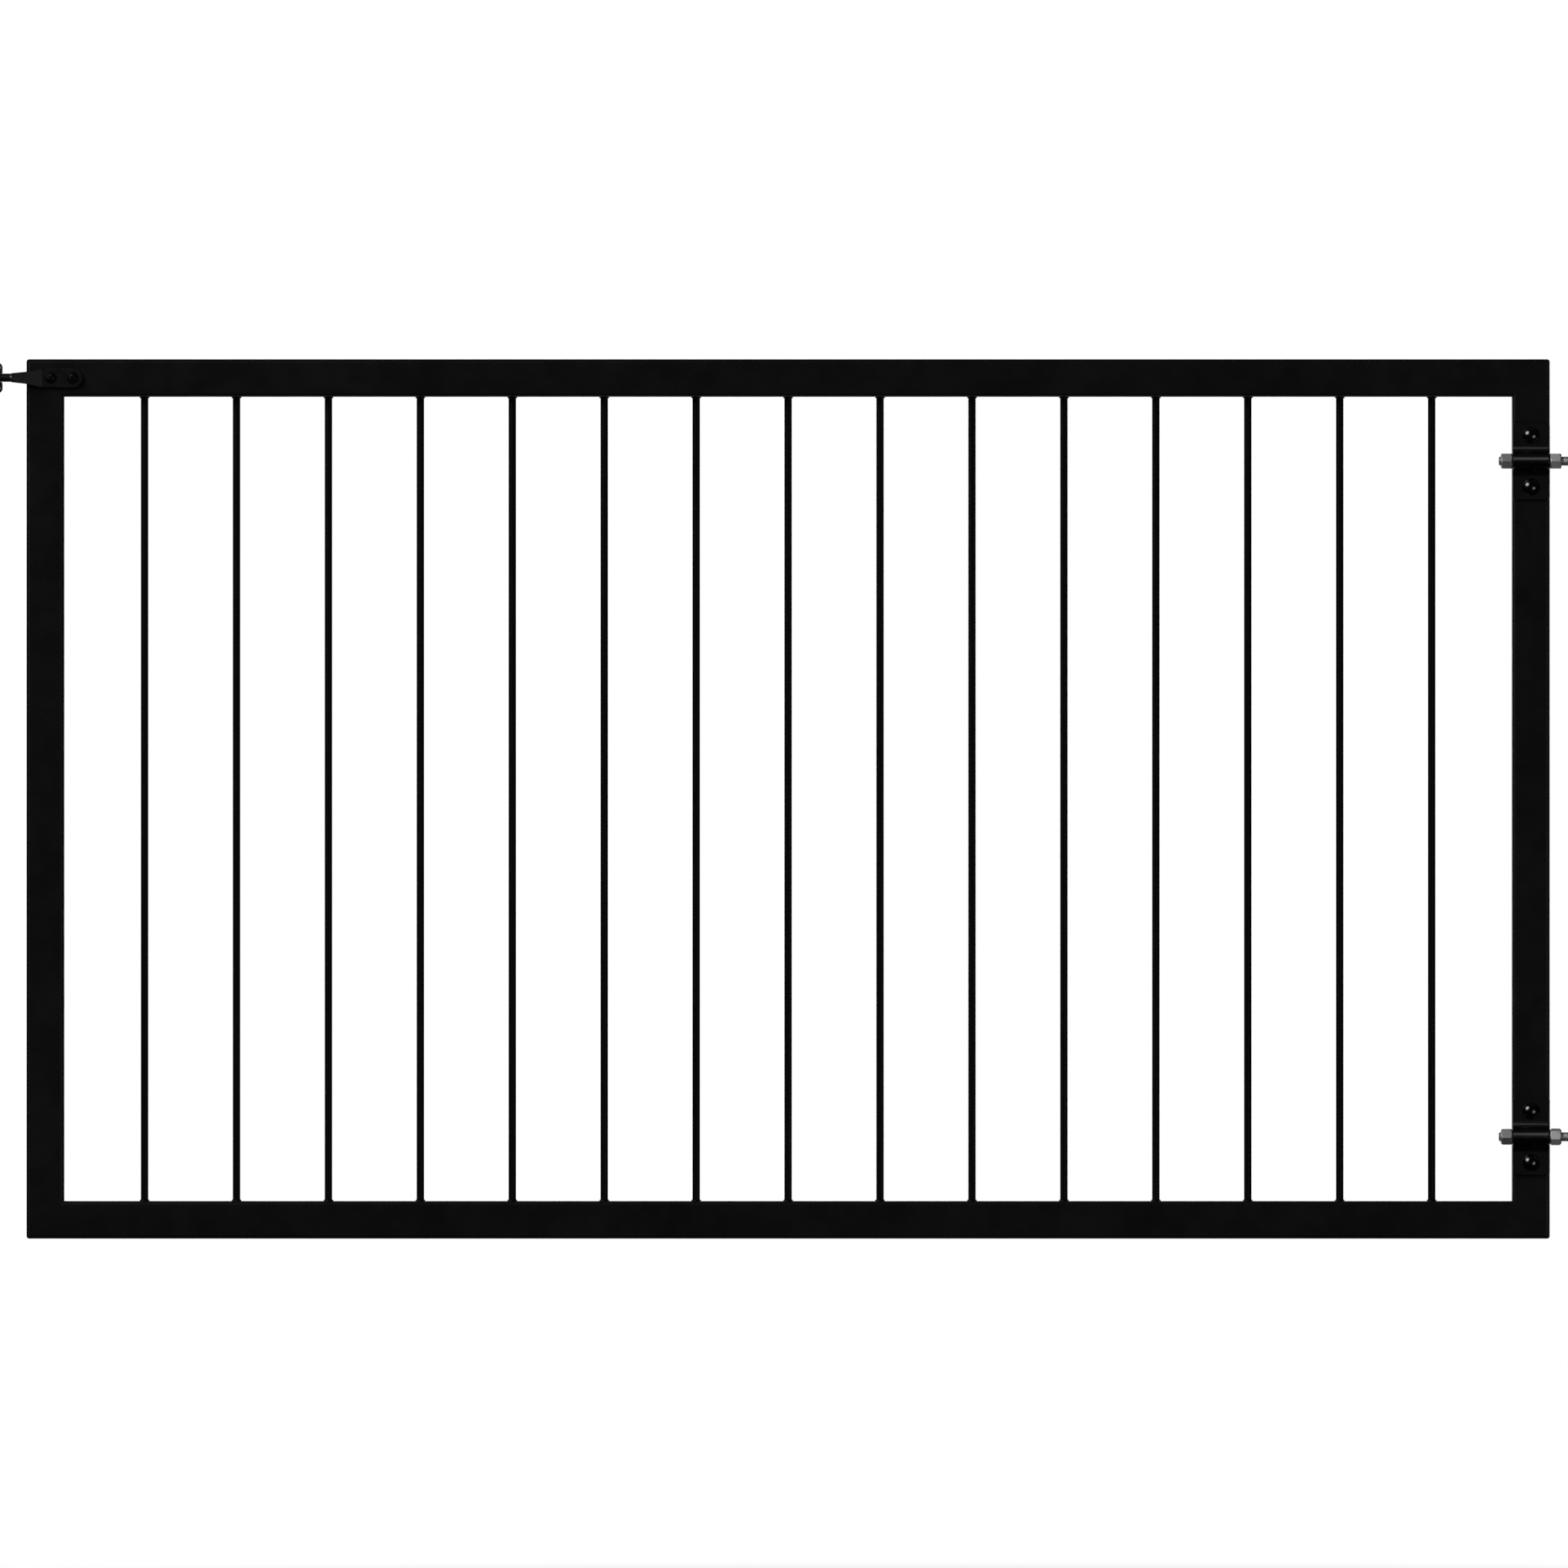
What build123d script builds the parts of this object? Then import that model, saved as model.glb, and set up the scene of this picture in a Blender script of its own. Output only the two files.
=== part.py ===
from build123d import *
import os
from math import asin, cos, degrees, hypot, radians, sin, sqrt

os.makedirs("parts", exist_ok=True)

# Millimetres. +X runs along the gate to the hinge post, +Y to the back, +Z up.
# The origin is on the face of the hinge post, at the middle of the lower hook plate.

# Welded leaf: a mitred frame of square tube with round upright bars
leaf_width = 1628.0
leaf_height = 940.0
tube = 40.0
tube_wall = 2.0
tube_corner = 4.0
leaf_corner = 3.0
bar_count = 15
bar_dia = 8.0
bar_pitch = 98.3

# Hinge rods, clamped to the front of the hinge stile
hinge_inset = 109.0
rod_dia = 10.0
rod_seat = 0.3
rod_stub = 2.5
rod_chamfer = 1.2
nut_flats = 16.0
nut_height = 12.2
nut_chamfer = 2.0
lower_outer_nut_turn = 17.0
lower_inner_nut_turn = 6.0
thread_gap = 0.05
eye_reach = 44.0
eye_dia = 24.0
eye_height = 16.0
neck_dia = 14.0
neck_length = 6.0
neck_inside = 6.0
saddle_sheet = 4.0
saddle_height = 83.0
saddle_foot = 10.5
saddle_corner = 3.0
saddle_pitch = 55.2

# Coach bolts that hold the saddles
bolt_dia = 8.0
bolt_head_dia = 18.2
bolt_head_height = 4.6
bolt_head_rim = 1.4
bolt_crown_dia = 8.0
bolt_neck = 8.0
bolt_gap = 0.2
bolt_tail = 2.6
bolt_nut_flats = 13.0
bolt_nut_height = 6.8
washer_dia = 16.0
washer_sheet = 1.6

# Hooks on the hinge post
plate_width = 46.0
plate_height = 104.0
plate_sheet = 5.0
plate_corner = 5.0
plate_hole_dia = 9.0
plate_hole_x = 28.0
plate_hole_z = 78.0
hook_dia = 12.0
hook_standoff = 20.0
hook_bend = 11.0
hook_weld = 3.0
hook_nose = 1.5
collar_dia = 20.0
collar_height = 3.0
pin_overrun = 6.0
pin_gap = 0.08
seat_gap = 0.1

# Strike, screwed to the top rail at the latch end
strike_sheet = 5.0
strike_width = 20.7
strike_start = 17.0
strike_end = 15.5
strike_waist = 13.0
strike_neck = 9.8
strike_bar_dia = 9.0
strike_bar_reach = 62.0
strike_bar_nose = 1.5
strike_standoff = 14.0
strike_edge = 1.2
strike_relief = 0.1
screw_inset = 6.3
screw_pitch = 23.0
screw_dia = 5.5
screw_length = 16.0
screw_gap = 0.1
screw_head_dia = 12.4
screw_head_height = 3.6
screw_head_bevel = 1.8

# Catch on the latch post
catch_gap = 31.0
catch_sheet = 4.0
catch_hole_dia = 5.0
catch_hole_x = 36.6
catch_hole_z = 22.4
catch_ear = 5.2
catch_scallop = 2.4
catch_core_width = 27.0
catch_top = 46.0
catch_foot = 22.0
cheek_sheet = 5.0
cheek_front = 46.0
cheek_lip = 4.0
cheek_lead = 7.0
cheek_jaw = 3.5
cheek_back_foot = 15.0
cheek_boss = 9.0
cheek_round = 1.8
cheek_fillet = 2.0
bar_slack = 0.4

# Latch arm, drawn as it lies over the bar and built thrown back on its stop
arm_sheet = 8.0
arm_side_gap = 0.5
arm_stop_gap = 0.3
arm_claw_gap = 0.5
arm_bar_gap = 0.8
arm_length = 42.0
arm_swing = 116.0
claw_tip_drop = 6.2
claw_toe = 3.2
claw_round = 1.2
lip_depth = 5.0
lip_round = 2.0
pivot_dia = 6.0
pivot_forward = 14.0
pivot_rise = 13.0
rivet_head_dia = 10.0
rivet_head_height = 2.2

# Places that follow from those sizes
pin_y = -hook_standoff
face_y = pin_y + rod_dia / 2 + rod_seat
middle_y = face_y + tube / 2
back_y = face_y + tube
eye_z = hook_bend + collar_height + seat_gap + eye_height / 2
right_x = -eye_reach
left_x = right_x - leaf_width
stile_x = right_x - tube / 2
bottom_z = eye_z - hinge_inset
top_z = bottom_z + leaf_height
hinge_rise = leaf_height - 2 * hinge_inset
hinge_levels = {"lower": 0.0, "upper": hinge_rise}
inner_height = leaf_height - 2 * tube
first_bar_x = (left_x + right_x) / 2 - bar_pitch * (bar_count - 1) / 2
strike_z = top_z - tube / 2
strike_bar_y = face_y - strike_standoff
first_screw_x = left_x + tube / 2 + screw_inset
last_screw_x = first_screw_x + screw_pitch
catch_x = left_x - catch_gap - catch_hole_x / 2
pivot_y = -pivot_forward
pivot_z = strike_z + pivot_rise


def front(y):
    """Plane parallel to the gate, drawn in X and Z, whose extrusions come forward."""
    return Plane.XZ.offset(-y)


def across(x, y, z):
    """Plane square to the gate's length, drawn in Y and Z from the point given."""
    return Plane(origin=(x, y, z), x_dir=(0, 1, 0), z_dir=(1, 0, 0))


def level(z):
    """Horizontal plane on the hinge axis."""
    return Plane.XY.offset(z).shift_origin((0, pin_y, z))


def save(piece, name):
    """Label a finished piece and write it under its own name."""
    piece.part.label = name
    export_step(piece.part, f"parts/{name}.step")


# Frame tubes: a square section run full length, then cut at 45 degrees at both corners
corners = {
    "top_left": (left_x, top_z),
    "top_right": (right_x, top_z),
    "bottom_left": (left_x, bottom_z),
    "bottom_right": (right_x, bottom_z),
}


def tube_section():
    """Hollow square section about the sketch's origin."""
    RectangleRounded(tube, tube, tube_corner)
    RectangleRounded(tube - 2 * tube_wall, tube - 2 * tube_wall, tube_corner - tube_wall, mode=Mode.SUBTRACT)


def mitre(corner, keep_x, keep_z):
    """Cut a tube through a corner of the leaf and keep the side that the two signs point to."""
    x, z = corners[corner]
    split(bisect_by=Plane(origin=(x, middle_y, z), x_dir=(0, 1, 0), z_dir=(keep_x, 0, keep_z)), keep=Keep.TOP)


def grind_corners():
    """Take the sharp outer corners of the welded leaf off a tube."""
    with BuildSketch(front(back_y)) as leaf_outline:
        with Locations(((left_x + right_x) / 2, (bottom_z + top_z) / 2)):
            RectangleRounded(leaf_width, leaf_height, leaf_corner)
    extrude(leaf_outline.sketch, amount=tube, mode=Mode.INTERSECT)


screw_spots = [(first_screw_x, strike_z), (last_screw_x, strike_z)]

with BuildPart() as top_rail:
    with BuildSketch(across(left_x, middle_y, top_z - tube / 2)):
        tube_section()
    extrude(amount=leaf_width)
    mitre("top_left", 1, 1)
    mitre("top_right", -1, 1)
    grind_corners()
    with BuildSketch(front(face_y + tube / 2)):
        with Locations(*screw_spots):
            Circle(screw_dia / 2 + screw_gap)
    extrude(amount=tube / 2, mode=Mode.SUBTRACT)
save(top_rail, "top_rail")

with BuildPart() as bottom_rail:
    with BuildSketch(across(left_x, middle_y, bottom_z + tube / 2)):
        tube_section()
    extrude(amount=leaf_width)
    mitre("bottom_left", 1, -1)
    mitre("bottom_right", -1, -1)
    grind_corners()
save(bottom_rail, "bottom_rail")

with BuildPart() as latch_stile:
    with BuildSketch(Plane.XY.offset(bottom_z)):
        with Locations((left_x + tube / 2, middle_y)):
            tube_section()
    extrude(amount=leaf_height)
    mitre("top_left", -1, -1)
    mitre("bottom_left", -1, 1)
    grind_corners()
save(latch_stile, "latch_stile")

bolt_spots = [
    (stile_x, eye_z + rise + side * saddle_pitch / 2) for rise in hinge_levels.values() for side in (-1, 1)
]

with BuildPart() as hinge_stile:
    with BuildSketch(Plane.XY.offset(bottom_z)):
        with Locations((stile_x, middle_y)):
            tube_section()
    extrude(amount=leaf_height)
    mitre("top_right", 1, -1)
    mitre("bottom_right", 1, 1)
    grind_corners()
    with BuildSketch(front(back_y)):
        with Locations(*bolt_spots):
            Circle(bolt_dia / 2 + bolt_gap)
    extrude(amount=tube, mode=Mode.SUBTRACT)
save(hinge_stile, "hinge_stile")

# Upright bars, welded square between the rails
for number in range(bar_count):
    with BuildPart() as infill_bar:
        with BuildSketch(Plane.XY.offset(bottom_z + tube)):
            with Locations((first_bar_x + number * bar_pitch, middle_y)):
                Circle(bar_dia / 2)
        extrude(amount=inner_height)
    save(infill_bar, f"infill_bar_{number + 1:02d}")

# Saddle strap: flat feet, a crown over the rod, and round bends that run from one into the other
crown_radius = rod_dia / 2 + rod_seat + saddle_sheet / 2
foot_level = rod_dia / 2 + rod_seat - saddle_sheet / 2
bend_level = foot_level - saddle_foot
bend_rise = sqrt((crown_radius + saddle_foot) ** 2 - bend_level**2)
bend_turn = 90 + degrees(asin(bend_level / (crown_radius + saddle_foot)))

for name, rise in hinge_levels.items():
    with BuildPart() as saddle:
        with BuildSketch(across(right_x - tube, pin_y, eye_z + rise)) as strap:
            with BuildLine():
                low_foot = Line((foot_level, -saddle_height / 2), (foot_level, -bend_rise))
                low_bend = JernArc(low_foot @ 1, (0, 1), saddle_foot, bend_turn)
                crown = JernArc(low_bend @ 1, low_bend % 1, crown_radius, -2 * bend_turn)
                high_bend = JernArc(crown @ 1, crown % 1, saddle_foot, bend_turn)
                Line(high_bend @ 1, (foot_level, saddle_height / 2))
            trace(line_width=saddle_sheet)
        extrude(amount=tube)
        feet = saddle.edges().filter_by(Axis.Y).group_by(Axis.Z)
        fillet(feet[0] + feet[-1], saddle_corner)
        with BuildSketch(front(face_y)):
            with Locations((stile_x, eye_z + rise)):
                with GridLocations(0, saddle_pitch, 1, 2):
                    Rectangle(bolt_neck + 2 * bolt_gap, bolt_neck + 2 * bolt_gap)
        extrude(amount=saddle_sheet, mode=Mode.SUBTRACT)
    save(saddle, f"{name}_saddle")

# Eye bolt: a turned rod with a flared neck and a forged eye bored for the pin
rod_end_x = right_x - tube - nut_height - rod_stub

for name, rise in hinge_levels.items():
    with BuildPart() as eye_bolt:
        with BuildSketch(front(pin_y).shift_origin((0, pin_y, eye_z + rise))):
            with BuildLine():
                Polyline(
                    (rod_end_x, 0),
                    (rod_end_x, rod_dia / 2 - rod_chamfer),
                    (rod_end_x + rod_chamfer, rod_dia / 2),
                    (-eye_dia / 2 - neck_length, rod_dia / 2),
                    (-neck_inside, neck_dia / 2),
                    (-neck_inside, 0),
                    close=True,
                )
            make_face()
        revolve(axis=Axis((0, pin_y, eye_z + rise), (1, 0, 0)))
        with BuildSketch(level(eye_z + rise - eye_height / 2)):
            Circle(eye_dia / 2)
        extrude(amount=eye_height)
        with BuildSketch(level(eye_z + rise - eye_height / 2)):
            Circle(hook_dia / 2 + pin_gap)
        extrude(amount=eye_height, mode=Mode.SUBTRACT)
    save(eye_bolt, f"{name}_eye_bolt")


# Deep nuts that set each rod in its saddle, one against either side of the stile.
# The corners of each nut's free end are turned off, and each nut stands as it was last tightened.
nut_rim = nut_flats / 2 / cos(radians(30))

with BuildPart() as adjuster_nut:
    with BuildSketch():
        RegularPolygon(nut_flats / 2, 6, major_radius=False)
        Circle(rod_dia / 2 + thread_gap, mode=Mode.SUBTRACT)
    extrude(amount=nut_height)
    with BuildSketch(Plane.XZ):
        with BuildLine():
            Polyline(
                (0, 0),
                (nut_rim, 0),
                (nut_rim, nut_height - nut_chamfer),
                (nut_rim - nut_chamfer, nut_height),
                (0, nut_height),
                close=True,
            )
        make_face()
    revolve(axis=Axis.Z, mode=Mode.INTERSECT)

nut_turns = {("lower", 1): lower_outer_nut_turn, ("lower", -1): lower_inner_nut_turn}

with BuildPart() as adjuster_nuts:
    for name, rise in hinge_levels.items():
        for seat_x, outward in ((right_x, 1), (right_x - tube, -1)):
            seat = Plane(origin=(seat_x, pin_y, eye_z + rise), x_dir=(0, 1, 0), z_dir=(outward, 0, 0))
            turn = outward * nut_turns.get((name, outward), 0)
            add(seat.location * Rot(0, 0, turn) * adjuster_nut.part)
save(adjuster_nuts, "adjuster_nuts")

# Coach bolts: cup head on the saddle, square neck in it, shank right through the stile
bolt_seat_y = face_y - saddle_sheet
bolt_end_y = back_y + washer_sheet + bolt_nut_height + bolt_tail

with BuildPart() as saddle_bolts:
    for bolt_x, bolt_z in bolt_spots:
        spot = (bolt_x, bolt_seat_y, bolt_z)
        with BuildSketch(Plane(origin=spot, x_dir=(1, 0, 0), z_dir=(0, 0, 1))):
            with BuildLine():
                Polyline(
                    (0, -bolt_head_height),
                    (0, bolt_end_y - bolt_seat_y),
                    (bolt_dia / 2, bolt_end_y - bolt_seat_y),
                    (bolt_dia / 2, 0),
                    (bolt_head_dia / 2, 0),
                    (bolt_head_dia / 2, -bolt_head_rim),
                    (bolt_crown_dia / 2, -bolt_head_height),
                    close=True,
                )
            make_face()
        revolve(axis=Axis(spot, (0, 1, 0)))
        with BuildSketch(front(face_y)):
            with Locations((bolt_x, bolt_z)):
                Rectangle(bolt_neck, bolt_neck)
        extrude(amount=saddle_sheet)
save(saddle_bolts, "saddle_bolts")

with BuildPart() as saddle_washers:
    with BuildSketch(front(back_y + washer_sheet)):
        with Locations(*bolt_spots):
            Circle(washer_dia / 2)
            Circle(bolt_dia / 2 + bolt_gap, mode=Mode.SUBTRACT)
    extrude(amount=washer_sheet)
save(saddle_washers, "saddle_washers")

with BuildPart() as saddle_nuts:
    with BuildSketch(front(back_y + washer_sheet + bolt_nut_height)):
        with Locations(*bolt_spots):
            RegularPolygon(bolt_nut_flats / 2, 6, major_radius=False)
            Circle(bolt_dia / 2 + thread_gap, mode=Mode.SUBTRACT)
    extrude(amount=bolt_nut_height)
save(saddle_nuts, "saddle_nuts")

# Hooks: a plate on the post and a bar that stands out from it, turns up and carries the eye on a collar
root_y = -plate_sheet
bend_middle = hook_bend * (1 - sqrt(0.5))

for name, rise in hinge_levels.items():
    with BuildPart() as hook_plate:
        with BuildSketch(front(0)):
            with Locations((0, rise)):
                RectangleRounded(plate_width, plate_height, plate_corner)
                with GridLocations(plate_hole_x, plate_hole_z, 2, 2):
                    Circle(plate_hole_dia / 2, mode=Mode.SUBTRACT)
        extrude(amount=plate_sheet)
    save(hook_plate, f"{name}_hook_plate")

    pin_top = eye_z + rise + eye_height / 2 + pin_overrun
    with BuildPart() as hook:
        with BuildLine():
            stem = Line((0, root_y, rise), (0, pin_y + hook_bend, rise))
            bend = ThreePointArc(
                stem @ 1,
                (0, pin_y + bend_middle, rise + bend_middle),
                (0, pin_y, rise + hook_bend),
            )
            Line(bend @ 1, (0, pin_y, pin_top))
        with BuildSketch(front(root_y)):
            with Locations((0, rise)):
                Circle(hook_dia / 2)
        sweep()
        chamfer(hook.edges().group_by(Axis.Z)[-1], hook_nose)
        with BuildSketch(level(rise + hook_bend)):
            Circle(collar_dia / 2)
        extrude(amount=collar_height)
        with BuildSketch(Plane(origin=(0, root_y, rise), x_dir=(1, 0, 0), z_dir=(0, 0, 1))):
            with BuildLine():
                Polyline(
                    (0, 0),
                    (hook_dia / 2 + hook_weld, 0),
                    (hook_dia / 2, -hook_weld),
                    (0, -hook_weld),
                    close=True,
                )
            make_face()
        revolve(axis=Axis((0, root_y, rise), (0, 1, 0)))
    save(hook, f"{name}_hook")

# Strike: a flat plate under two screws, set forward by a ramp and drawn down to a round bar.
# The ramp is what the shape seen from above and the taper seen from the front have in common.
neck_x = left_x + strike_start
bar_x = left_x - strike_end
bar_radius = strike_bar_dia / 2

with BuildPart() as latch_strike:
    with BuildSketch(Plane.XY.offset(strike_z - strike_width / 2)):
        with BuildLine():
            Polyline(
                (neck_x, face_y - strike_relief),
                (neck_x, face_y - strike_sheet),
                (bar_x, strike_bar_y - bar_radius),
                (bar_x, strike_bar_y + bar_radius),
                close=True,
            )
        make_face()
    extrude(amount=strike_width)
    with BuildSketch(front(face_y)):
        with BuildLine():
            Polyline(
                (neck_x, strike_z - strike_width / 2),
                (neck_x, strike_z + strike_width / 2),
                (left_x, strike_z + strike_waist / 2),
                (bar_x, strike_z + strike_neck / 2),
                (bar_x, strike_z - strike_neck / 2),
                (left_x, strike_z - strike_waist / 2),
                close=True,
            )
        make_face()
    extrude(amount=strike_standoff + strike_bar_dia, mode=Mode.INTERSECT)
    fillet(latch_strike.edges().filter_by(lambda edge: edge.bounding_box().size.X > strike_end / 2), strike_edge)
    with BuildSketch(front(face_y)):
        with Locations(((neck_x + last_screw_x) / 2, strike_z)):
            Rectangle(last_screw_x - neck_x, strike_width)
        with Locations((last_screw_x, strike_z)):
            Circle(strike_width / 2)
        with Locations(*screw_spots):
            Circle(screw_dia / 2 + screw_gap, mode=Mode.SUBTRACT)
    extrude(amount=strike_sheet)
    with BuildSketch(across(bar_x, strike_bar_y, strike_z)):
        Circle(bar_radius)
    extrude(amount=-(strike_bar_reach - strike_end))
    chamfer(latch_strike.edges().group_by(Axis.X)[0], strike_bar_nose)
save(latch_strike, "latch_strike")

# Screws of the strike: bevelled heads, shanks in the wall of the rail
head_seat_y = face_y - strike_sheet

with BuildPart() as strike_screws:
    for screw_x, screw_z in screw_spots:
        spot = (screw_x, head_seat_y, screw_z)
        with BuildSketch(Plane(origin=spot, x_dir=(1, 0, 0), z_dir=(0, 0, 1))):
            with BuildLine():
                Polyline(
                    (0, -screw_head_height),
                    (0, screw_length),
                    (screw_dia / 2, screw_length),
                    (screw_dia / 2, 0),
                    (screw_head_dia / 2, 0),
                    (screw_head_dia / 2, screw_head_bevel - screw_head_height),
                    (screw_head_dia / 2 - screw_head_bevel, -screw_head_height),
                    close=True,
                )
            make_face()
        revolve(axis=Axis(spot, (0, 1, 0)))
save(strike_screws, "strike_screws")

# Catch: a lobed plate on the post with two cheeks, slotted from the front for the strike's bar
cheek_inside = arm_sheet / 2 + arm_side_gap
cheek_outside = cheek_inside + cheek_sheet
slot_half = strike_bar_dia / 2 + bar_slack
cheek_root = -catch_sheet
cheek_nose = -cheek_front
ear_width = catch_hole_x + 2 * catch_ear
ear_height = catch_hole_z + 2 * catch_ear
scallop_radius = (catch_hole_z**2 / 16 + catch_scallop**2) / (2 * catch_scallop)

with BuildPart() as latch_catch:
    with BuildSketch(front(0)):
        with Locations((catch_x, strike_z)):
            RectangleRounded(ear_width, ear_height, catch_ear)
            with GridLocations(ear_width + 2 * (scallop_radius - catch_scallop), 0, 2, 1):
                Circle(scallop_radius, mode=Mode.SUBTRACT)
            with GridLocations(catch_hole_x, catch_hole_z, 2, 2):
                Circle(catch_hole_dia / 2, mode=Mode.SUBTRACT)
        with Locations((catch_x, strike_z + (catch_top - catch_foot) / 2)):
            SlotOverall(catch_top + catch_foot, catch_core_width, rotation=90)
    extrude(amount=catch_sheet)
    for side in (cheek_inside, -cheek_outside):
        with BuildSketch(across(catch_x + side, 0, strike_z)) as cheek:
            with BuildLine():
                Polyline(
                    (cheek_root, -cheek_back_foot),
                    (cheek_nose, -slot_half - cheek_lip - cheek_jaw),
                    (cheek_nose, -slot_half - cheek_lip),
                    (cheek_nose + cheek_lead, -slot_half),
                    (strike_bar_y, -slot_half),
                    (strike_bar_y, slot_half),
                    (cheek_nose + cheek_lead, slot_half),
                    (cheek_nose, slot_half + cheek_lip),
                    (pivot_y, pivot_rise + cheek_boss),
                    (cheek_root, pivot_rise + cheek_boss),
                    close=True,
                )
            make_face()
            fillet(cheek.vertices().group_by(Axis.X)[0], cheek_round)
            with Locations((pivot_y, pivot_rise)):
                Circle(cheek_boss)
            with Locations((strike_bar_y, 0)):
                Circle(slot_half, mode=Mode.SUBTRACT)
            with Locations((pivot_y, pivot_rise)):
                Circle(pivot_dia / 2 + pin_gap, mode=Mode.SUBTRACT)
        extrude(amount=cheek_sheet)
    for root_x in (catch_x - cheek_outside, catch_x + cheek_outside):
        roots = latch_catch.edges().filter_by(Axis.Z).filter_by_position(Axis.Y, cheek_root, cheek_root)
        fillet(roots.filter_by_position(Axis.X, root_x, root_x), cheek_fillet)
save(latch_catch, "latch_catch")

rivet_end = cheek_outside + rivet_head_height

with BuildPart() as latch_pivot:
    with BuildSketch(Plane(origin=(catch_x, pivot_y, pivot_z), x_dir=(1, 0, 0), z_dir=(0, -1, 0))):
        with BuildLine():
            Polyline(
                (0, 0),
                (0, pivot_dia / 2),
                (cheek_outside, pivot_dia / 2),
                (cheek_outside, rivet_head_dia / 2),
                (rivet_end, rivet_head_dia / 2),
                (rivet_end, 0),
                close=True,
            )
        make_face()
    revolve(axis=Axis((catch_x, pivot_y, pivot_z), (1, 0, 0)))
    mirror(about=Plane.YZ.offset(catch_x))
save(latch_pivot, "latch_pivot")

# Latch arm: u runs forward and v up from the pivot, as the arm lies over the bar.
# Its back is a straight edge that lies upright along the catch's plate when the arm is thrown back.
tilt = arm_swing - 90
arm_boss = pivot_forward - catch_sheet - arm_stop_gap
bar_u = pivot_y - strike_bar_y
bar_v = -pivot_rise
claw_radius = hypot(bar_u, bar_v) + strike_bar_dia / 2 + arm_claw_gap
arm_under = bar_v + strike_bar_dia / 2 + arm_bar_gap
back_start = (arm_boss * sin(radians(tilt)), arm_boss * cos(radians(tilt)))
back_end = (
    back_start[0] + arm_length * cos(radians(tilt)),
    back_start[1] - arm_length * sin(radians(tilt)),
)
claw_from = degrees(asin((bar_v - claw_tip_drop) / claw_radius))
claw_to = degrees(asin(arm_under / claw_radius))
lip = (back_end[0] - lip_depth * sin(radians(tilt)), back_end[1] - lip_depth * cos(radians(tilt)))
parked = Plane(
    origin=(catch_x + arm_sheet / 2, pivot_y, pivot_z),
    x_dir=(0, sin(radians(tilt)), cos(radians(tilt))),
    z_dir=(-1, 0, 0),
)

with BuildPart() as latch_arm:
    with BuildSketch(parked) as outline:
        with BuildLine():
            claw = CenterArc((0, 0), claw_radius, claw_from, claw_to - claw_from)
            toe = Line(claw @ 0, (claw @ 0) + Vector(claw_toe, -claw_toe))
            Polyline(toe @ 1, lip, back_end, back_start, (0, 0), (0, arm_under), claw @ 1)
        make_face()
        fillet(outline.vertices().sort_by(Axis.X)[-2:], lip_round)
        fillet(outline.vertices().sort_by(Axis.Y)[:2], claw_round)
        Circle(arm_boss)
        Circle(pivot_dia / 2 + pin_gap, mode=Mode.SUBTRACT)
    extrude(amount=arm_sheet)
save(latch_arm, "latch_arm")
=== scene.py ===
import math
import random
import bmesh
import bpy
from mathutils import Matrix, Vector


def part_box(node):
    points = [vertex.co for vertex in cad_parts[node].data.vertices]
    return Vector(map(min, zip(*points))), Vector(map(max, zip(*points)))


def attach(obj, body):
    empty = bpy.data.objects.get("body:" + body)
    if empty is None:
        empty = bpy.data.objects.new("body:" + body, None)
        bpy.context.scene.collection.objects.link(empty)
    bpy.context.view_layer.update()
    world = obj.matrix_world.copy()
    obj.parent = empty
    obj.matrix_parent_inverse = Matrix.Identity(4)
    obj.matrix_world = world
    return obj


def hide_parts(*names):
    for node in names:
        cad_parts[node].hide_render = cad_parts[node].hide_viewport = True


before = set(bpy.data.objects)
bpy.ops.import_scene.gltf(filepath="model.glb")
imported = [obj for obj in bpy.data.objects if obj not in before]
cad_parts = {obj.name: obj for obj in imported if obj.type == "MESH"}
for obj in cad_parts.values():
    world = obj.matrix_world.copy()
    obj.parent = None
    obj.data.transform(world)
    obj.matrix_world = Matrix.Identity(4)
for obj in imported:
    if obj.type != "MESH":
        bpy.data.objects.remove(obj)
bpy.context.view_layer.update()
scene = bpy.context.scene
mm = 0.001
alongX = Vector((1, 0, 0))
alongY = Vector((0, 1, 0))
alongZ = Vector((0, 0, 1))


# camera, square on to the front of the leaf from far away
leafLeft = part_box("latch_stile")[0].x
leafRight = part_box("hinge_stile")[1].x
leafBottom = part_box("bottom_rail")[0].z
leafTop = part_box("top_rail")[1].z
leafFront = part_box("top_rail")[0].y
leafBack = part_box("top_rail")[1].y
leafWidth = leafRight - leafLeft
leafHeight = leafTop - leafBottom

shot = {
    "frameWidth": 1.6757,  # metres across the picture at the front of the leaf
    "asideOfLeaf": -0.0044,  # middle of the picture against the middle of the leaf
    "aboveLeaf": 0.0160,
    "lens": 800.0,
    "sensor": 36.0,
    "clipEnd": 200.0,
}
cameraData = bpy.data.cameras.new("gateCamera")
cameraData.lens = shot["lens"]
cameraData.sensor_width = shot["sensor"]
cameraData.clip_end = shot["clipEnd"]
camera = bpy.data.objects.new("gateCamera", cameraData)
scene.collection.objects.link(camera)
camera.location = (
    (leafLeft + leafRight) / 2 + shot["asideOfLeaf"],
    leafFront - shot["frameWidth"] * shot["lens"] / shot["sensor"],
    (leafBottom + leafTop) / 2 + shot["aboveLeaf"],
)
camera.rotation_euler = (math.radians(90), 0, 0)
scene.camera = camera
scene.view_settings.view_transform = "Standard"
print("camera set")


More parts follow.
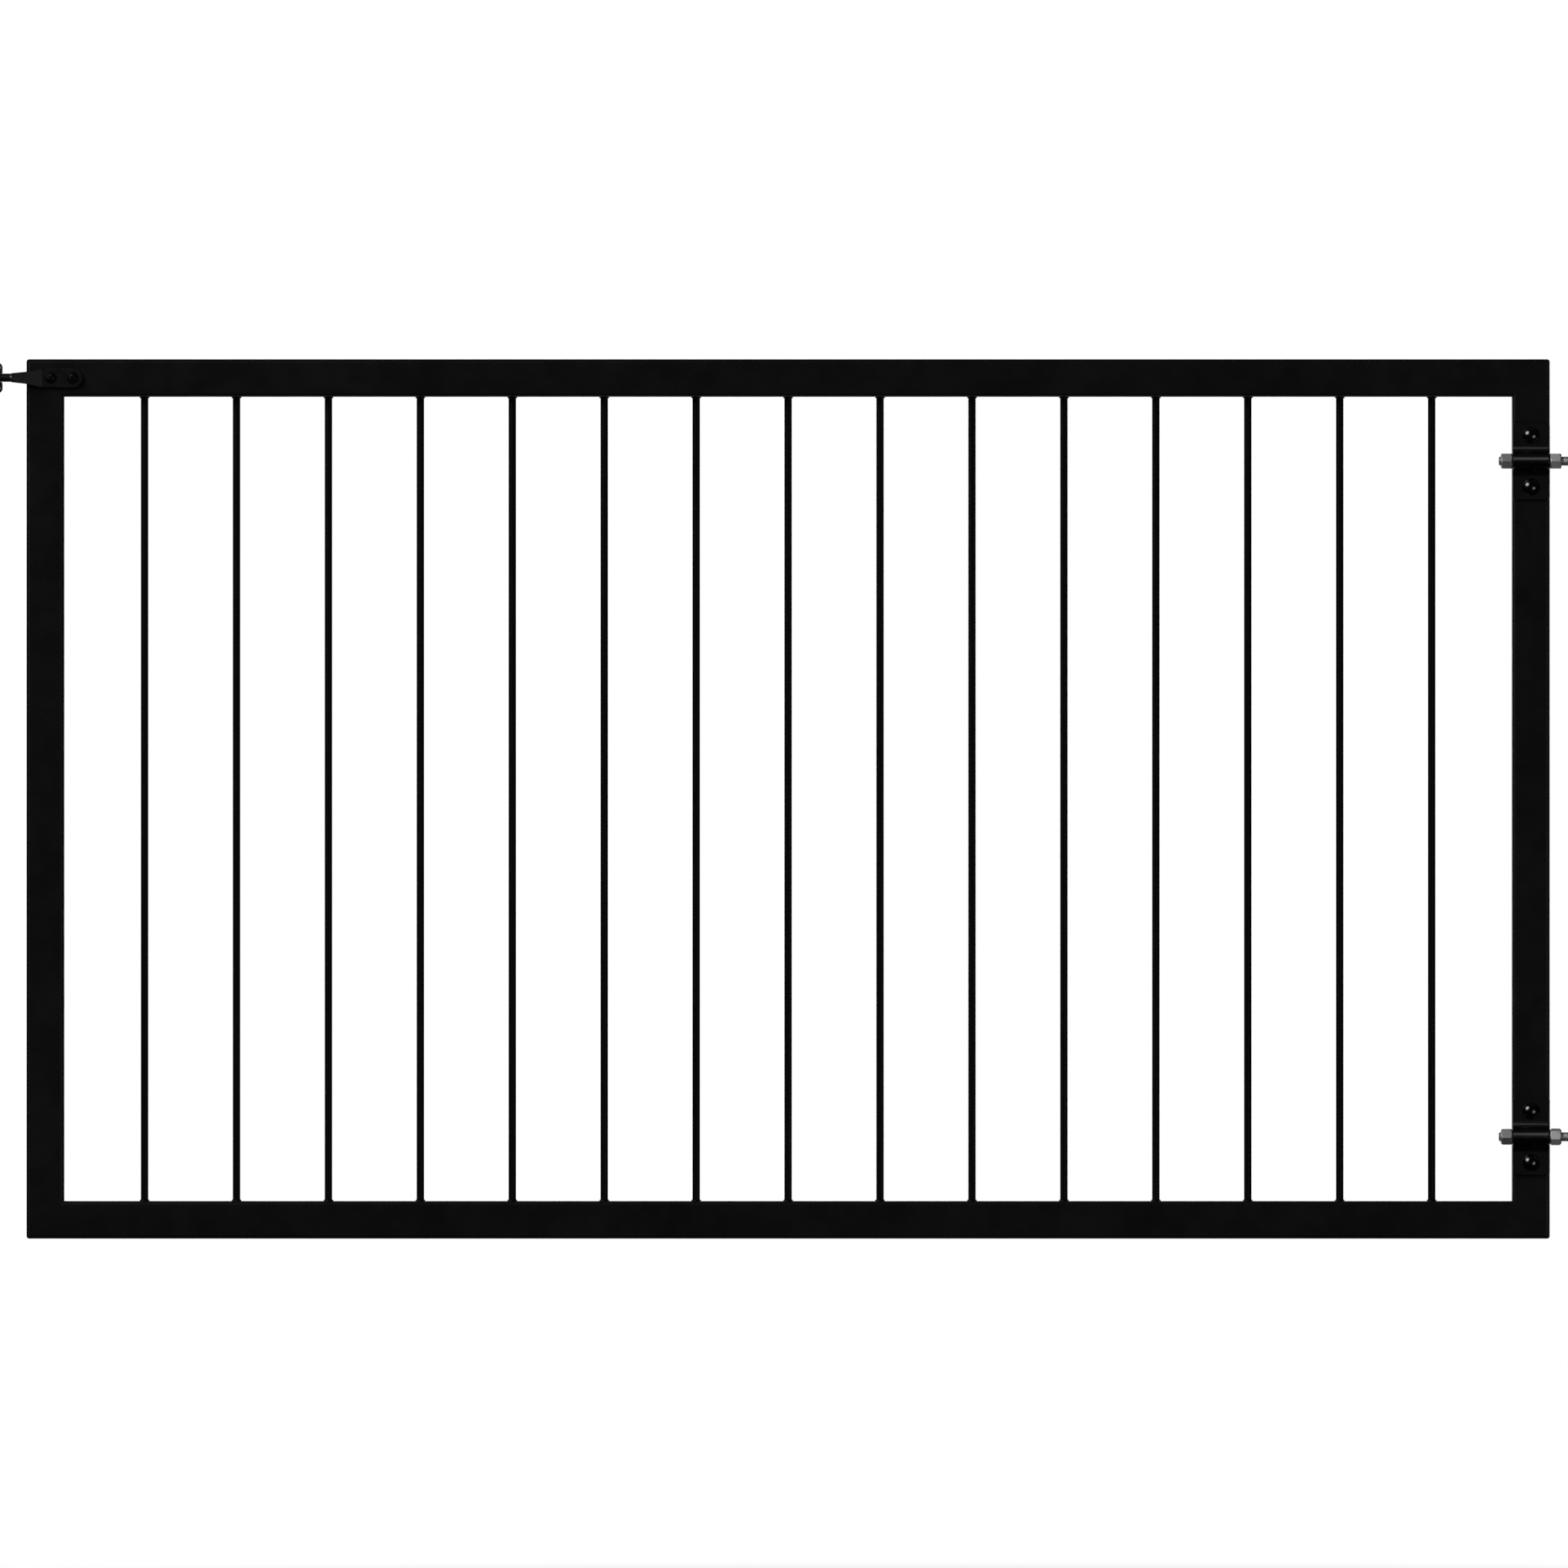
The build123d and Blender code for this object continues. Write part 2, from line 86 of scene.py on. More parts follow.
# studio: two soft lamps in front, and reflections that find white behind the gate and a dim room before it
studio = {
    "keyFrom": (-0.60, -0.62, 0.50), "keyPower": 620.0, "keyWidth": 5.0,
    "fillFrom": (0.58, -0.80, -0.18), "fillPower": 110.0, "fillWidth": 3.8,
    "lampDistance": 8.0,
    "roomLevel": 0.28,  # what diffuse light the room gives
    "frontLevel": 0.012,  # how bright reflections find the room in front
    "ceilingLevel": 0.05,  # and its ceiling
    "whiteFrom": (0.7, 0.97),  # where the white behind begins and is full, 1 being straight back
    "ceilingFrom": (0.6, 0.95),  # the same for the ceiling, 1 being straight up
    "floorDrop": 0.42, "floorRadius": 1.7, "floorStretch": 1.3, "floorAside": 0.2, "floorSegments": 96,
    "floorGrey": 0.86,
    "floorGlow": 0.62,  # how much plain white covers the shadows in the middle of the floor
    "floorFade": 0.55,  # share of its radius from which it fades to white
}
leafMiddle = Vector(((leafLeft + leafRight) / 2, leafFront, (leafBottom + leafTop) / 2))


def softLamp(name, direction, power, width):
    lampData = bpy.data.lights.new(name, "AREA")
    lampData.shape = "DISK"
    lampData.size = width
    lampData.energy = power
    lamp = bpy.data.objects.new(name, lampData)
    scene.collection.objects.link(lamp)
    towards = Vector(direction).normalized()
    lamp.location = leafMiddle + towards * studio["lampDistance"]
    lamp.rotation_euler = towards.to_track_quat("Z", "Y").to_euler()
    lamp.visible_camera = False


for role in ("key", "fill"):
    softLamp(f"{role}Lamp", studio[f"{role}From"], studio[f"{role}Power"], studio[f"{role}Width"])


def newNode(tree, kind, **values):
    node = tree.nodes.new("ShaderNode" + kind)
    for socket, value in values.items():
        node.inputs[socket.replace("_", " ")].default_value = value
    return node


def sumOf(tree, first, second):
    adder = newNode(tree, "Math")
    adder.use_clamp = True
    tree.links.new(first, adder.inputs[0])
    tree.links.new(second, adder.inputs[1])
    return adder.outputs[0]


def spread(tree, source, low, high, toLow=0.0, toHigh=1.0):
    ramp = newNode(tree, "MapRange", From_Min=low, From_Max=high, To_Min=toLow, To_Max=toHigh)
    ramp.interpolation_type = "SMOOTHSTEP"
    tree.links.new(source, ramp.inputs["Value"])
    return ramp.outputs["Result"]


def blendOf(tree, factor, first, second):
    mixer = newNode(tree, "Mix")
    mixer.data_type = "FLOAT"
    tree.links.new(factor, mixer.inputs[0])
    for source, socket in ((first, mixer.inputs[2]), (second, mixer.inputs[3])):
        if isinstance(source, float):
            socket.default_value = source
        else:
            tree.links.new(source, socket)
    return mixer.outputs[0]


room = bpy.data.worlds.new("studioRoom")
scene.world = room
room.use_nodes = True
roomTree = room.node_tree
roomSky = roomTree.nodes["Background"]
roomSky.inputs["Color"].default_value = (1, 1, 1, 1)
roomPlace = newNode(roomTree, "TexCoord")
roomSplit = newNode(roomTree, "SeparateXYZ")
roomTree.links.new(roomPlace.outputs["Generated"], roomSplit.inputs[0])
roomRay = newNode(roomTree, "LightPath")
isBehind = spread(roomTree, roomSplit.outputs["Y"], *studio["whiteFrom"])
isAbove = spread(roomTree, roomSplit.outputs["Z"], *studio["ceilingFrom"])
inFront = blendOf(roomTree, isAbove, studio["frontLevel"], studio["ceilingLevel"])
mirrored = blendOf(roomTree, isBehind, inFront, 1.0)
seesRoom = sumOf(roomTree, roomRay.outputs["Is Glossy Ray"], roomRay.outputs["Is Transmission Ray"])
lit = blendOf(roomTree, seesRoom, studio["roomLevel"], mirrored)
roomTree.links.new(blendOf(roomTree, roomRay.outputs["Is Camera Ray"], lit, 1.0), roomSky.inputs["Strength"])

floorRadius = studio["floorRadius"]
floorMesh = bpy.data.meshes.new("studioFloor")
floorShape = bmesh.new()
bmesh.ops.create_circle(floorShape, cap_ends=True, segments=studio["floorSegments"], radius=floorRadius)
floorShape.to_mesh(floorMesh)
floorShape.free()
studioFloor = bpy.data.objects.new("studioFloor", floorMesh)
scene.collection.objects.link(studioFloor)
studioFloor.location = (
    leafMiddle.x + studio["floorAside"], leafBack + floorRadius, leafBottom - studio["floorDrop"],
)
studioFloor.scale.x = studio["floorStretch"]

floorPaint = bpy.data.materials.new("studioFloor")
floorPaint.use_nodes = True
floorTree = floorPaint.node_tree
floorTree.nodes.remove(floorTree.nodes["Principled BSDF"])
floorPlace = newNode(floorTree, "TexCoord")
floorLength = newNode(floorTree, "VectorMath")
floorLength.operation = "LENGTH"
floorTree.links.new(floorPlace.outputs["Object"], floorLength.inputs[0])
fadeStart = studio["floorFade"] * floorRadius
fade = spread(floorTree, floorLength.outputs["Value"], fadeStart, floorRadius, studio["floorGlow"], 1.0)
floorRay = newNode(floorTree, "LightPath")
shown = sumOf(floorTree, floorRay.outputs["Is Camera Ray"], floorRay.outputs["Is Glossy Ray"])
shown = sumOf(floorTree, shown, floorRay.outputs["Is Transmission Ray"])
floorMatt = newNode(floorTree, "BsdfDiffuse", Color=[studio["floorGrey"]] * 3 + [1])
floorGlow = newNode(floorTree, "Emission", Color=(1, 1, 1, 1), Strength=1.0)
floorMix = newNode(floorTree, "MixShader")
floorTree.links.new(blendOf(floorTree, shown, 0.0, fade), floorMix.inputs[0])
floorTree.links.new(floorMatt.outputs[0], floorMix.inputs[1])
floorTree.links.new(floorGlow.outputs[0], floorMix.inputs[2])
floorTree.links.new(floorMix.outputs[0], floorTree.nodes["Material Output"].inputs["Surface"])
floorMesh.materials.append(floorPaint)
print("studio set")


# finishes: every one has its own cloudiness, gloss variation and grain
finishLook = {
    "cloudDetail": 4.0, "cloudRoughness": 0.6, "cloudRange": (0.32, 0.70),
    "smearDetail": 3.0, "smearRange": (0.3, 0.7), "grainDetail": 2.0,
    "crownFrom": (0.485, 0.525),  # share of the strap's height where the underside of its crown ends
    "bendFrom": (0.60, 0.64),  # and where the bend above the crown begins
}


def grey(level):
    return (level, level, level, 1)


def makeFinish(name, look):
    material = bpy.data.materials.new(name)
    material.use_nodes = True
    tree = material.node_tree
    shader = tree.nodes["Principled BSDF"]
    shader.inputs["Metallic"].default_value = look.get("metal", 0.0)
    shader.inputs["Specular IOR Level"].default_value = look["specular"]
    place = newNode(tree, "TexCoord").outputs["Object"]

    def noise(scale, detail, **values):
        pattern = newNode(tree, "TexNoise", Scale=scale, Detail=detail, **values)
        tree.links.new(place, pattern.inputs["Vector"])
        return pattern.outputs["Fac"]

    cloud = noise(look["cloudScale"], finishLook["cloudDetail"], Roughness=finishLook["cloudRoughness"])
    tones = newNode(tree, "ValToRGB")
    ends = zip(tones.color_ramp.elements, finishLook["cloudRange"], ("dark", "light"))
    for end, position, tone in ends:
        end.position = position
        end.color = look[tone]
    tree.links.new(cloud, tones.inputs["Fac"])
    tree.links.new(tones.outputs["Color"], shader.inputs["Base Color"])

    smear = noise(look["smearScale"], finishLook["smearDetail"])
    gloss = spread(tree, smear, *finishLook["smearRange"], *look["roughness"])
    if "polish" in look:  # the underside of the crown and the bend above it are smoother than its top
        run = newNode(tree, "UVMap")
        run.uv_map = "strapRun"
        rise = newNode(tree, "SeparateXYZ")
        tree.links.new(run.outputs["UV"], rise.inputs[0])
        isBend = spread(tree, rise.outputs["Y"], *finishLook["bendFrom"])
        isOver = spread(tree, rise.outputs["Y"], *finishLook["crownFrom"])
        gloss = blendOf(tree, isBend, gloss, look["bendGloss"])
        gloss = blendOf(tree, isOver, look["polish"], gloss)
    tree.links.new(gloss, shader.inputs["Roughness"])

    grain = noise(look["grainScale"], finishLook["grainDetail"])
    relief = newNode(tree, "Bump", Strength=look["grainStrength"], Distance=look["grainDepth"] * mm)
    tree.links.new(grain, relief.inputs["Height"])
    tree.links.new(relief.outputs["Normal"], shader.inputs["Normal"])

    if "stretch" in look:  # rolled sheet draws its highlights out along the width of the strap
        shader.inputs["Anisotropic"].default_value = look["stretch"]
        rolled = newNode(tree, "Tangent")
        rolled.direction_type = "UV_MAP"
        rolled.uv_map = "strapRun"
        tree.links.new(rolled.outputs["Tangent"], shader.inputs["Tangent"])
    return material


frameCoat = makeFinish("frameCoat", {
    "dark": grey(0.0022), "light": grey(0.0032), "specular": 0.09, "roughness": (0.32, 0.42),
    "cloudScale": 7.0, "smearScale": 38.0, "grainScale": 900.0, "grainStrength": 0.15, "grainDepth": 0.03,
})
# darker copy of the frame's coat for the round bars: painted shade
barShadeCoat = makeFinish("barShadeCoat", {
    "dark": grey(0.0010), "light": grey(0.0016), "specular": 0.05, "roughness": (0.32, 0.42),
    "cloudScale": 11.0, "smearScale": 60.0, "grainScale": 900.0, "grainStrength": 0.1, "grainDepth": 0.02,
})
# darker copy of the coat for the strap's crown, whose flats keep the frame's coat: painted shade; its gloss
# and drawn-out highlights come from the shader
crownShadeGloss = makeFinish("crownShadeGloss", {
    "dark": grey(0.0003), "light": grey(0.0006), "specular": 0.55, "roughness": (0.32, 0.38),
    "polish": 0.12, "bendGloss": 0.26, "stretch": 0.9,
    "cloudScale": 40.0, "smearScale": 90.0, "grainScale": 1100.0, "grainStrength": 0.2, "grainDepth": 0.04,
})
strikeCoat = makeFinish("strikeCoat", {
    "dark": grey(0.0018), "light": grey(0.0026), "specular": 0.15, "roughness": (0.32, 0.40),
    "cloudScale": 60.0, "smearScale": 140.0, "grainScale": 1000.0, "grainStrength": 0.4, "grainDepth": 0.06,
})
# lighter, glossier copy of the coat for the strike's shoulder: painted highlight
shoulderHighlightCoat = makeFinish("shoulderHighlightCoat", {
    "dark": grey(0.0040), "light": grey(0.0080), "specular": 0.34, "roughness": (0.28, 0.36),
    "cloudScale": 200.0, "smearScale": 400.0, "grainScale": 1400.0, "grainStrength": 0.3, "grainDepth": 0.04,
})
castCoat = makeFinish("castCoat", {
    "dark": grey(0.0040), "light": grey(0.0070), "specular": 0.36, "roughness": (0.44, 0.58),
    "cloudScale": 70.0, "smearScale": 160.0, "grainScale": 650.0, "grainStrength": 0.55, "grainDepth": 0.12,
})
hookCoat = makeFinish("hookCoat", {
    "dark": grey(0.0024), "light": grey(0.0040), "specular": 0.3, "roughness": (0.34, 0.44),
    "cloudScale": 50.0, "smearScale": 120.0, "grainScale": 900.0, "grainStrength": 0.4, "grainDepth": 0.07,
})
screwBlack = makeFinish("screwBlack", {
    "dark": grey(0.0008), "light": grey(0.0014), "specular": 0.09, "roughness": (0.30, 0.38),
    "cloudScale": 150.0, "smearScale": 300.0, "grainScale": 1500.0, "grainStrength": 0.2, "grainDepth": 0.03,
})
boltBlack = makeFinish("boltBlack", {
    "dark": grey(0.0001), "light": grey(0.0003), "specular": 0.5, "roughness": (0.14, 0.20),
    "cloudScale": 120.0, "smearScale": 260.0, "grainScale": 1500.0, "grainStrength": 0.1, "grainDepth": 0.02,
})
rivetBlack = makeFinish("rivetBlack", {
    "dark": grey(0.0030), "light": grey(0.0050), "specular": 0.3, "roughness": (0.30, 0.38),
    "cloudScale": 150.0, "smearScale": 300.0, "grainScale": 1500.0, "grainStrength": 0.15, "grainDepth": 0.03,
})
zincGrain = {
    "metal": 1.0, "specular": 0.5, "cloudScale": 420.0, "smearScale": 600.0,
    "grainScale": 2200.0, "grainStrength": 0.15, "grainDepth": 0.03,
}
zincPlate = makeFinish("zincPlate", {
    **zincGrain, "dark": (0.41, 0.415, 0.42, 1), "light": (0.52, 0.526, 0.532, 1), "roughness": (0.57, 0.63),
})
# darker copy of the zinc for the inner nuts: painted shade
shadedZinc = makeFinish("shadedZinc", {
    **zincGrain, "dark": (0.25, 0.253, 0.256, 1), "light": (0.335, 0.339, 0.343, 1),
    "roughness": (0.58, 0.64),
})
threadZinc = makeFinish("threadZinc", {
    **zincGrain, "dark": (0.31, 0.313, 0.317, 1), "light": (0.43, 0.434, 0.44, 1), "roughness": (0.47, 0.56),
    "grainScale": 2400.0,
})
print("finishes made")


# mesh helpers
meshLook = {"mergeGap": 0.0008, "leastCap": 0.01, "sharpFrom": 32}  # millimetres and degrees


def skin(shape, rings, looped=False):
    made = [[shape.verts.new(point) for point in ring] for ring in rings]
    count = len(made[0])
    pairs = list(zip(made, made[1:]))
    if looped:
        pairs.append((made[-1], made[0]))
    for near, far in pairs:
        for k in range(count):
            n = (k + 1) % count
            shape.faces.new((near[k], near[n], far[n], far[k]))
    if not looped:
        for ends, ring in ((made[0], rings[0]), (made[-1], rings[-1])):
            if (ring[0] - ring[count // 2]).length > meshLook["leastCap"] * mm:
                shape.faces.new(ends)


def turnsOf(count):
    return [2 * math.pi * k / count for k in range(count)]


def ringAround(centre, axis, spots):
    # a ring of points square to the axis, from (angle, radius)
    side = alongZ if abs(axis.z) < 0.5 else alongX
    other = axis.cross(side)
    return [centre + (side * math.cos(angle) + other * math.sin(angle)) * r for angle, r in spots]


def turnedRings(origin, axis, profile, segments, bend=None):
    rings = []
    for along, radius in profile:
        spots = [(angle, bend(along, angle, radius) if bend else radius) for angle in turnsOf(segments)]
        rings.append(ringAround(origin + axis * along, axis, spots))
    return rings


def lathe(shape, origin, axis, profile, segments, bend=None, looped=False):
    skin(shape, turnedRings(origin, axis, profile, segments, bend), looped)


def evenSteps(start, end, gap):
    count = max(1, round(abs(end - start) / gap))
    return [start + (end - start) * k / count for k in range(count + 1)]


def arcOf(centre, radius, startDegrees, endDegrees, steps):
    points = []
    for k in range(steps + 1):
        angle = math.radians(startDegrees + (endDegrees - startDegrees) * k / steps)
        points.append((centre[0] + radius * math.cos(angle), centre[1] + radius * math.sin(angle)))
    return points


def arcPoints(*arc):
    return [Vector(point) for point in arcOf(*arc)]


def roundedBox(halfU, halfV, radius, steps):
    loop = []
    for turn, (u, v) in enumerate(((1, -1), (1, 1), (-1, 1), (-1, -1))):
        centre = (u * (halfU - radius), v * (halfV - radius))
        loop += arcOf(centre, radius, 90 * turn - 90, 90 * turn, steps)
    return loop


def roundOff(radius, gap):
    # how far a rounded edge has dropped at this gap from its outline
    return radius - math.sqrt(radius ** 2 - max(0.0, radius - gap) ** 2)


def addPiece(name, shape, material, body, nodes, sharpFrom=meshLook["sharpFrom"]):
    gap = meshLook["mergeGap"] * mm
    bmesh.ops.remove_doubles(shape, verts=shape.verts, dist=gap)
    bmesh.ops.dissolve_degenerate(shape, edges=shape.edges, dist=gap)
    bmesh.ops.recalc_face_normals(shape, faces=shape.faces)
    mesh = bpy.data.meshes.new(name)
    shape.to_mesh(mesh)
    shape.free()
    mesh.polygons.foreach_set("use_smooth", [True] * len(mesh.polygons))
    mesh.set_sharp_from_angle(angle=math.radians(sharpFrom))
    mesh.materials.append(material)
    piece = bpy.data.objects.new(name, mesh)
    scene.collection.objects.link(piece)
    flats = piece.modifiers.new("flatFaces", "WEIGHTED_NORMAL")  # flat faces stay flat beside rounded edges
    flats.keep_sharp = True
    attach(piece, body)
    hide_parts(*nodes)
    return piece


# square tubes, mitred at 45 degrees, the outer corners of the leaf ground round
tubeLook = {"corner": 4.0, "wall": 2.0, "arcSteps": 7, "ground": 3.0, "groundSteps": 5}
tubeWidth = leafBack - leafFront
tubeMiddle = (leafFront + leafBack) / 2


def tubeRings(half, radius, length):
    # a point of the section has its depth from the middle and its inset from the outer face of the leaf,
    # and along the run from the outer corner it stops at the mitre
    ground = tubeLook["ground"] * mm
    steps = tubeLook["groundSteps"]
    loop = [(u, v + tubeWidth / 2) for u, v in roundedBox(half, half, radius, tubeLook["arcSteps"])]
    cuts = [ground * (1 - math.cos(math.radians(45 + 45 * k / steps))) for k in range(steps + 1)]
    rings = []
    for flip in (False, True):
        part = []
        for cut in sorted(cuts):
            ring = []
            for depth, inset in loop:
                run = max(cut, inset)
                lift = roundOff(ground, run)
                place = length - run if flip else run
                ring.append((place, depth, max(inset, lift)))
            part.append(ring)
        rings += reversed(part) if flip else part
    return rings


def frameTube(name, node, toWorld, length):
    half = tubeWidth / 2
    radius = tubeLook["corner"] * mm
    wall = tubeLook["wall"] * mm
    outer = tubeRings(half, radius, length)
    inner = tubeRings(half - wall, radius - wall, length)
    rings = [[toWorld(*point) for point in ring] for ring in outer + [inner[-1], inner[0]]]
    shape = bmesh.new()
    skin(shape, rings, looped=True)
    addPiece(name, shape, frameCoat, "gate_leaf", [node])


def railPlace(level, inward):
    return lambda run, depth, inset: Vector((leafLeft + run, tubeMiddle + depth, level + inward * inset))


def stilePlace(side, inward):
    return lambda run, depth, inset: Vector((side + inward * inset, tubeMiddle + depth, leafBottom + run))


frameTube("topRailTube", "top_rail", railPlace(leafTop, -1), leafWidth)
frameTube("bottomRailTube", "bottom_rail", railPlace(leafBottom, 1), leafWidth)
frameTube("latchStileTube", "latch_stile", stilePlace(leafLeft, 1), leafHeight)
frameTube("hingeStileTube", "hinge_stile", stilePlace(leafRight, -1), leafHeight)
print("frame tubes made")


# upright bars with a weld bead at either end
barLook = {
    "segments": 48, "beadRise": 1.4, "beadRun": 1.8, "beadSteps": 9, "beadLumps": 0.2, "bulge": 0.225,
    "lean": 0.7,  # how much of the bulge goes along the bar
    "firstSeed": 11,
}
rippleLook = {"waves": (3, 5, 9), "least": 0.4, "share": 0.5}


def weldBead(rise, run, steps):
    # fillet with a slight bulge from the wall to the bar: distance from the wall and height over the bar
    points = []
    for k in range(steps + 1):
        share = k / steps
        bulge = barLook["bulge"] * math.sin(math.pi * share)
        points.append((run * (share + bulge * barLook["lean"]), rise * (1 - share + bulge)))
    return points


def beadRipple(seed, amount):
    draw = random.Random(seed)
    waves = []
    for count in rippleLook["waves"]:
        waves.append((count, draw.uniform(0, 2 * math.pi), draw.uniform(rippleLook["least"], 1.0)))

    def ripple(angle):
        height = sum(size * math.sin(count * angle + start) for count, start, size in waves)
        return amount * height * rippleLook["share"]

    return ripple


def infillBar(name, node, seed):
    low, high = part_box(node)
    radius = (high.x - low.x) / 2
    middle = Vector(((low.x + high.x) / 2, (low.y + high.y) / 2, low.z))
    length = high.z - low.z
    run = barLook["beadRun"] * mm
    bead = weldBead(barLook["beadRise"] * mm, run, barLook["beadSteps"])
    profile = [(along, radius + lift) for along, lift in bead]
    profile += [(length - along, radius + lift) for along, lift in reversed(bead)]
    ripples = [beadRipple(seed * 2 + end, barLook["beadLumps"] * mm) for end in range(2)]

    def bend(along, angle, r):
        end = 0 if along < length / 2 else 1
        share = max(0.0, 1 - min(along, length - along) / run)
        return r + ripples[end](angle) * share

    shape = bmesh.new()
    lathe(shape, middle, alongZ, profile, barLook["segments"], bend)
    addPiece(name, shape, barShadeCoat, "gate_leaf", [node])


barNodes = sorted(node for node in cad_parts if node.startswith("infill_bar"))
for number, node in enumerate(barNodes):
    infillBar(f"weldedBar{number + 1:02d}", node, number + barLook["firstSeed"])
print("bars made", len(barNodes))


# pressed saddles that clamp the hinge rods to the stile
hinges = {}
for level in ("lower", "upper"):
    low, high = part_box(f"{level}_eye_bolt")
    hinges[level] = {"z": (low.z + high.z) / 2, "y": (low.y + high.y) / 2}

saddleLook = {
    "sheet": 4.0, "footBend": 10.5, "corner": 3.0, "edge": 1.5, "rod": 10.0, "slack": 0.3,
    "bendSteps": 12, "crownSteps": 26, "edgeSteps": 4, "cornerSteps": 5,
}


def saddleLine():
    # centre line of the strap from bend to bend, as depth and rise from the rod,
    # with the way that its front faces
    sheet = saddleLook["sheet"]
    foot = saddleLook["footBend"]
    crown = saddleLook["rod"] / 2 + saddleLook["slack"] + sheet / 2
    footLevel = crown - sheet
    bendLevel = footLevel - foot
    rise = math.sqrt((crown + foot) ** 2 - bendLevel ** 2)
    turn = 90 + math.degrees(math.asin(bendLevel / (crown + foot)))
    line = []
    for depth, up in arcOf((0, 0), 1, 0, turn, saddleLook["bendSteps"]):
        line.append(((bendLevel + foot * depth, -rise + foot * up), (-depth, -up)))
    upper = [((p[0], -p[1]), (n[0], -n[1])) for p, n in reversed(line)]
    endDepth, endUp = line[-1][0]
    reach = math.degrees(math.atan2(endUp, endDepth)) % 360
    for depth, up in arcOf((0, 0), 1, reach, 360 - reach, saddleLook["crownSteps"])[1:-1]:
        line.append(((crown * depth, crown * up), (depth, up)))
    return line + upper, footLevel, rise


def saddleStrap(name, level):
    low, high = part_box(f"{level}_saddle")
    hinge = hinges[level]
    half = (high.z - low.z) / 2 / mm
    width = (high.x - low.x) / mm
    edge = saddleLook["edge"]
    corner = saddleLook["corner"]
    middle, footLevel, bendEnd = saddleLine()
    edgeSteps = saddleLook["edgeSteps"]
    cornerSteps = saddleLook["cornerSteps"]
    stops = [edge * (1 - math.cos(math.radians(90 * k / edgeSteps))) for k in range(edgeSteps)]
    stops += [edge + (corner - edge) * k / cornerSteps for k in range(cornerSteps + 1)]
    rings = []
    for stop in stops + [width - stop for stop in reversed(stops)]:
        near = min(stop, width - stop)
        cut = roundOff(corner, near)
        foot = []
        for share in stops:
            endGap = cut + (corner - cut) * share / corner
            gap = min(near, endGap)
            if max(near, endGap) < corner:
                gap = corner - math.hypot(corner - near, corner - endGap)
            foot.append(((footLevel, endGap - half), (-1, 0), max(0.0, gap)))
        line = foot + [(spot, way, near) for spot, way in middle]
        line += [((spot[0], -spot[1]), way, gap) for spot, way, gap in reversed(foot)]
        ring = []
        for face, ordered in ((1, line), (-1, line[::-1])):
            for (depth, up), (outDepth, outUp), gap in ordered:
                thick = (saddleLook["sheet"] / 2 - roundOff(edge, gap)) * face
                y = hinge["y"] + (depth + outDepth * thick) * mm
                z = hinge["z"] + (up + outUp * thick) * mm
                ring.append(Vector((low.x + stop * mm, y, z)))
        rings.append(ring)
    shape = bmesh.new()
    skin(shape, rings)
    strap = addPiece(name, shape, frameCoat, "gate_leaf", [f"{level}_saddle"], sharpFrom=40).data
    # the crown takes the darker copy of the coat: painted shade on the same sheet as the flats
    strap.materials.append(crownShadeGloss)
    for face in strap.polygons:
        sideGap = min(face.center.x - low.x, high.x - face.center.x)
        isCrown = abs(face.center.z - hinge["z"]) < bendEnd * mm and sideGap > edge * mm
        face.material_index = int(isCrown)
    strapRun = strap.uv_layers.new(name="strapRun")
    size = high - low
    for loop in strap.loops:
        spot = strap.vertices[loop.vertex_index].co - low
        strapRun.data[loop.index].uv = (spot.x / size.x, spot.z / size.z)


saddleStrap("lowerSaddleStrap", "lower")
saddleStrap("upperSaddleStrap", "upper")
print("saddles made")


# eye bolts: threaded rod, flared neck, forged eye
threadLook = {"stepsPerTurn": 10, "segments": 36, "crest": 0.3, "flank": 0.3}
eyeLook = {
    "pitch": 1.5, "depth": 0.5, "rod": 10.0, "nose": 1.2,
    "neck": 14.0, "neckRun": 6.0, "neckSteps": 10, "flare": 1.8, "bury": 1.2,
    "round": 1.6, "bore": 12.16, "boreEdge": 0.5, "edgeSteps": 6, "segments": 72,
}


def threadCut(radius, pitch, depth):
    def bend(along, angle, r):
        phase = (along / pitch - angle / (2 * math.pi)) % 1
        slope = abs(phase - 0.5) * 2  # 0 at a crest, 1 at a root
        drop = min(1.0, max(0.0, (slope - threadLook["crest"]) / (2 * threadLook["flank"])))
        return min(r, radius - depth * drop)

    return bend


def ringProfile(inner, outer, low, high, edgeOut, edgeIn, steps):
    # closed outline of a turned ring, as (along, radius)
    outline = arcOf((outer - edgeOut, low + edgeOut), edgeOut, -90, 0, steps)
    outline += arcOf((outer - edgeOut, high - edgeOut), edgeOut, 0, 90, steps)
    outline += arcOf((inner + edgeIn, high - edgeIn), edgeIn, 90, 180, steps)
    outline += arcOf((inner + edgeIn, low + edgeIn), edgeIn, 180, 270, steps)
    return [(along, radius) for radius, along in outline]


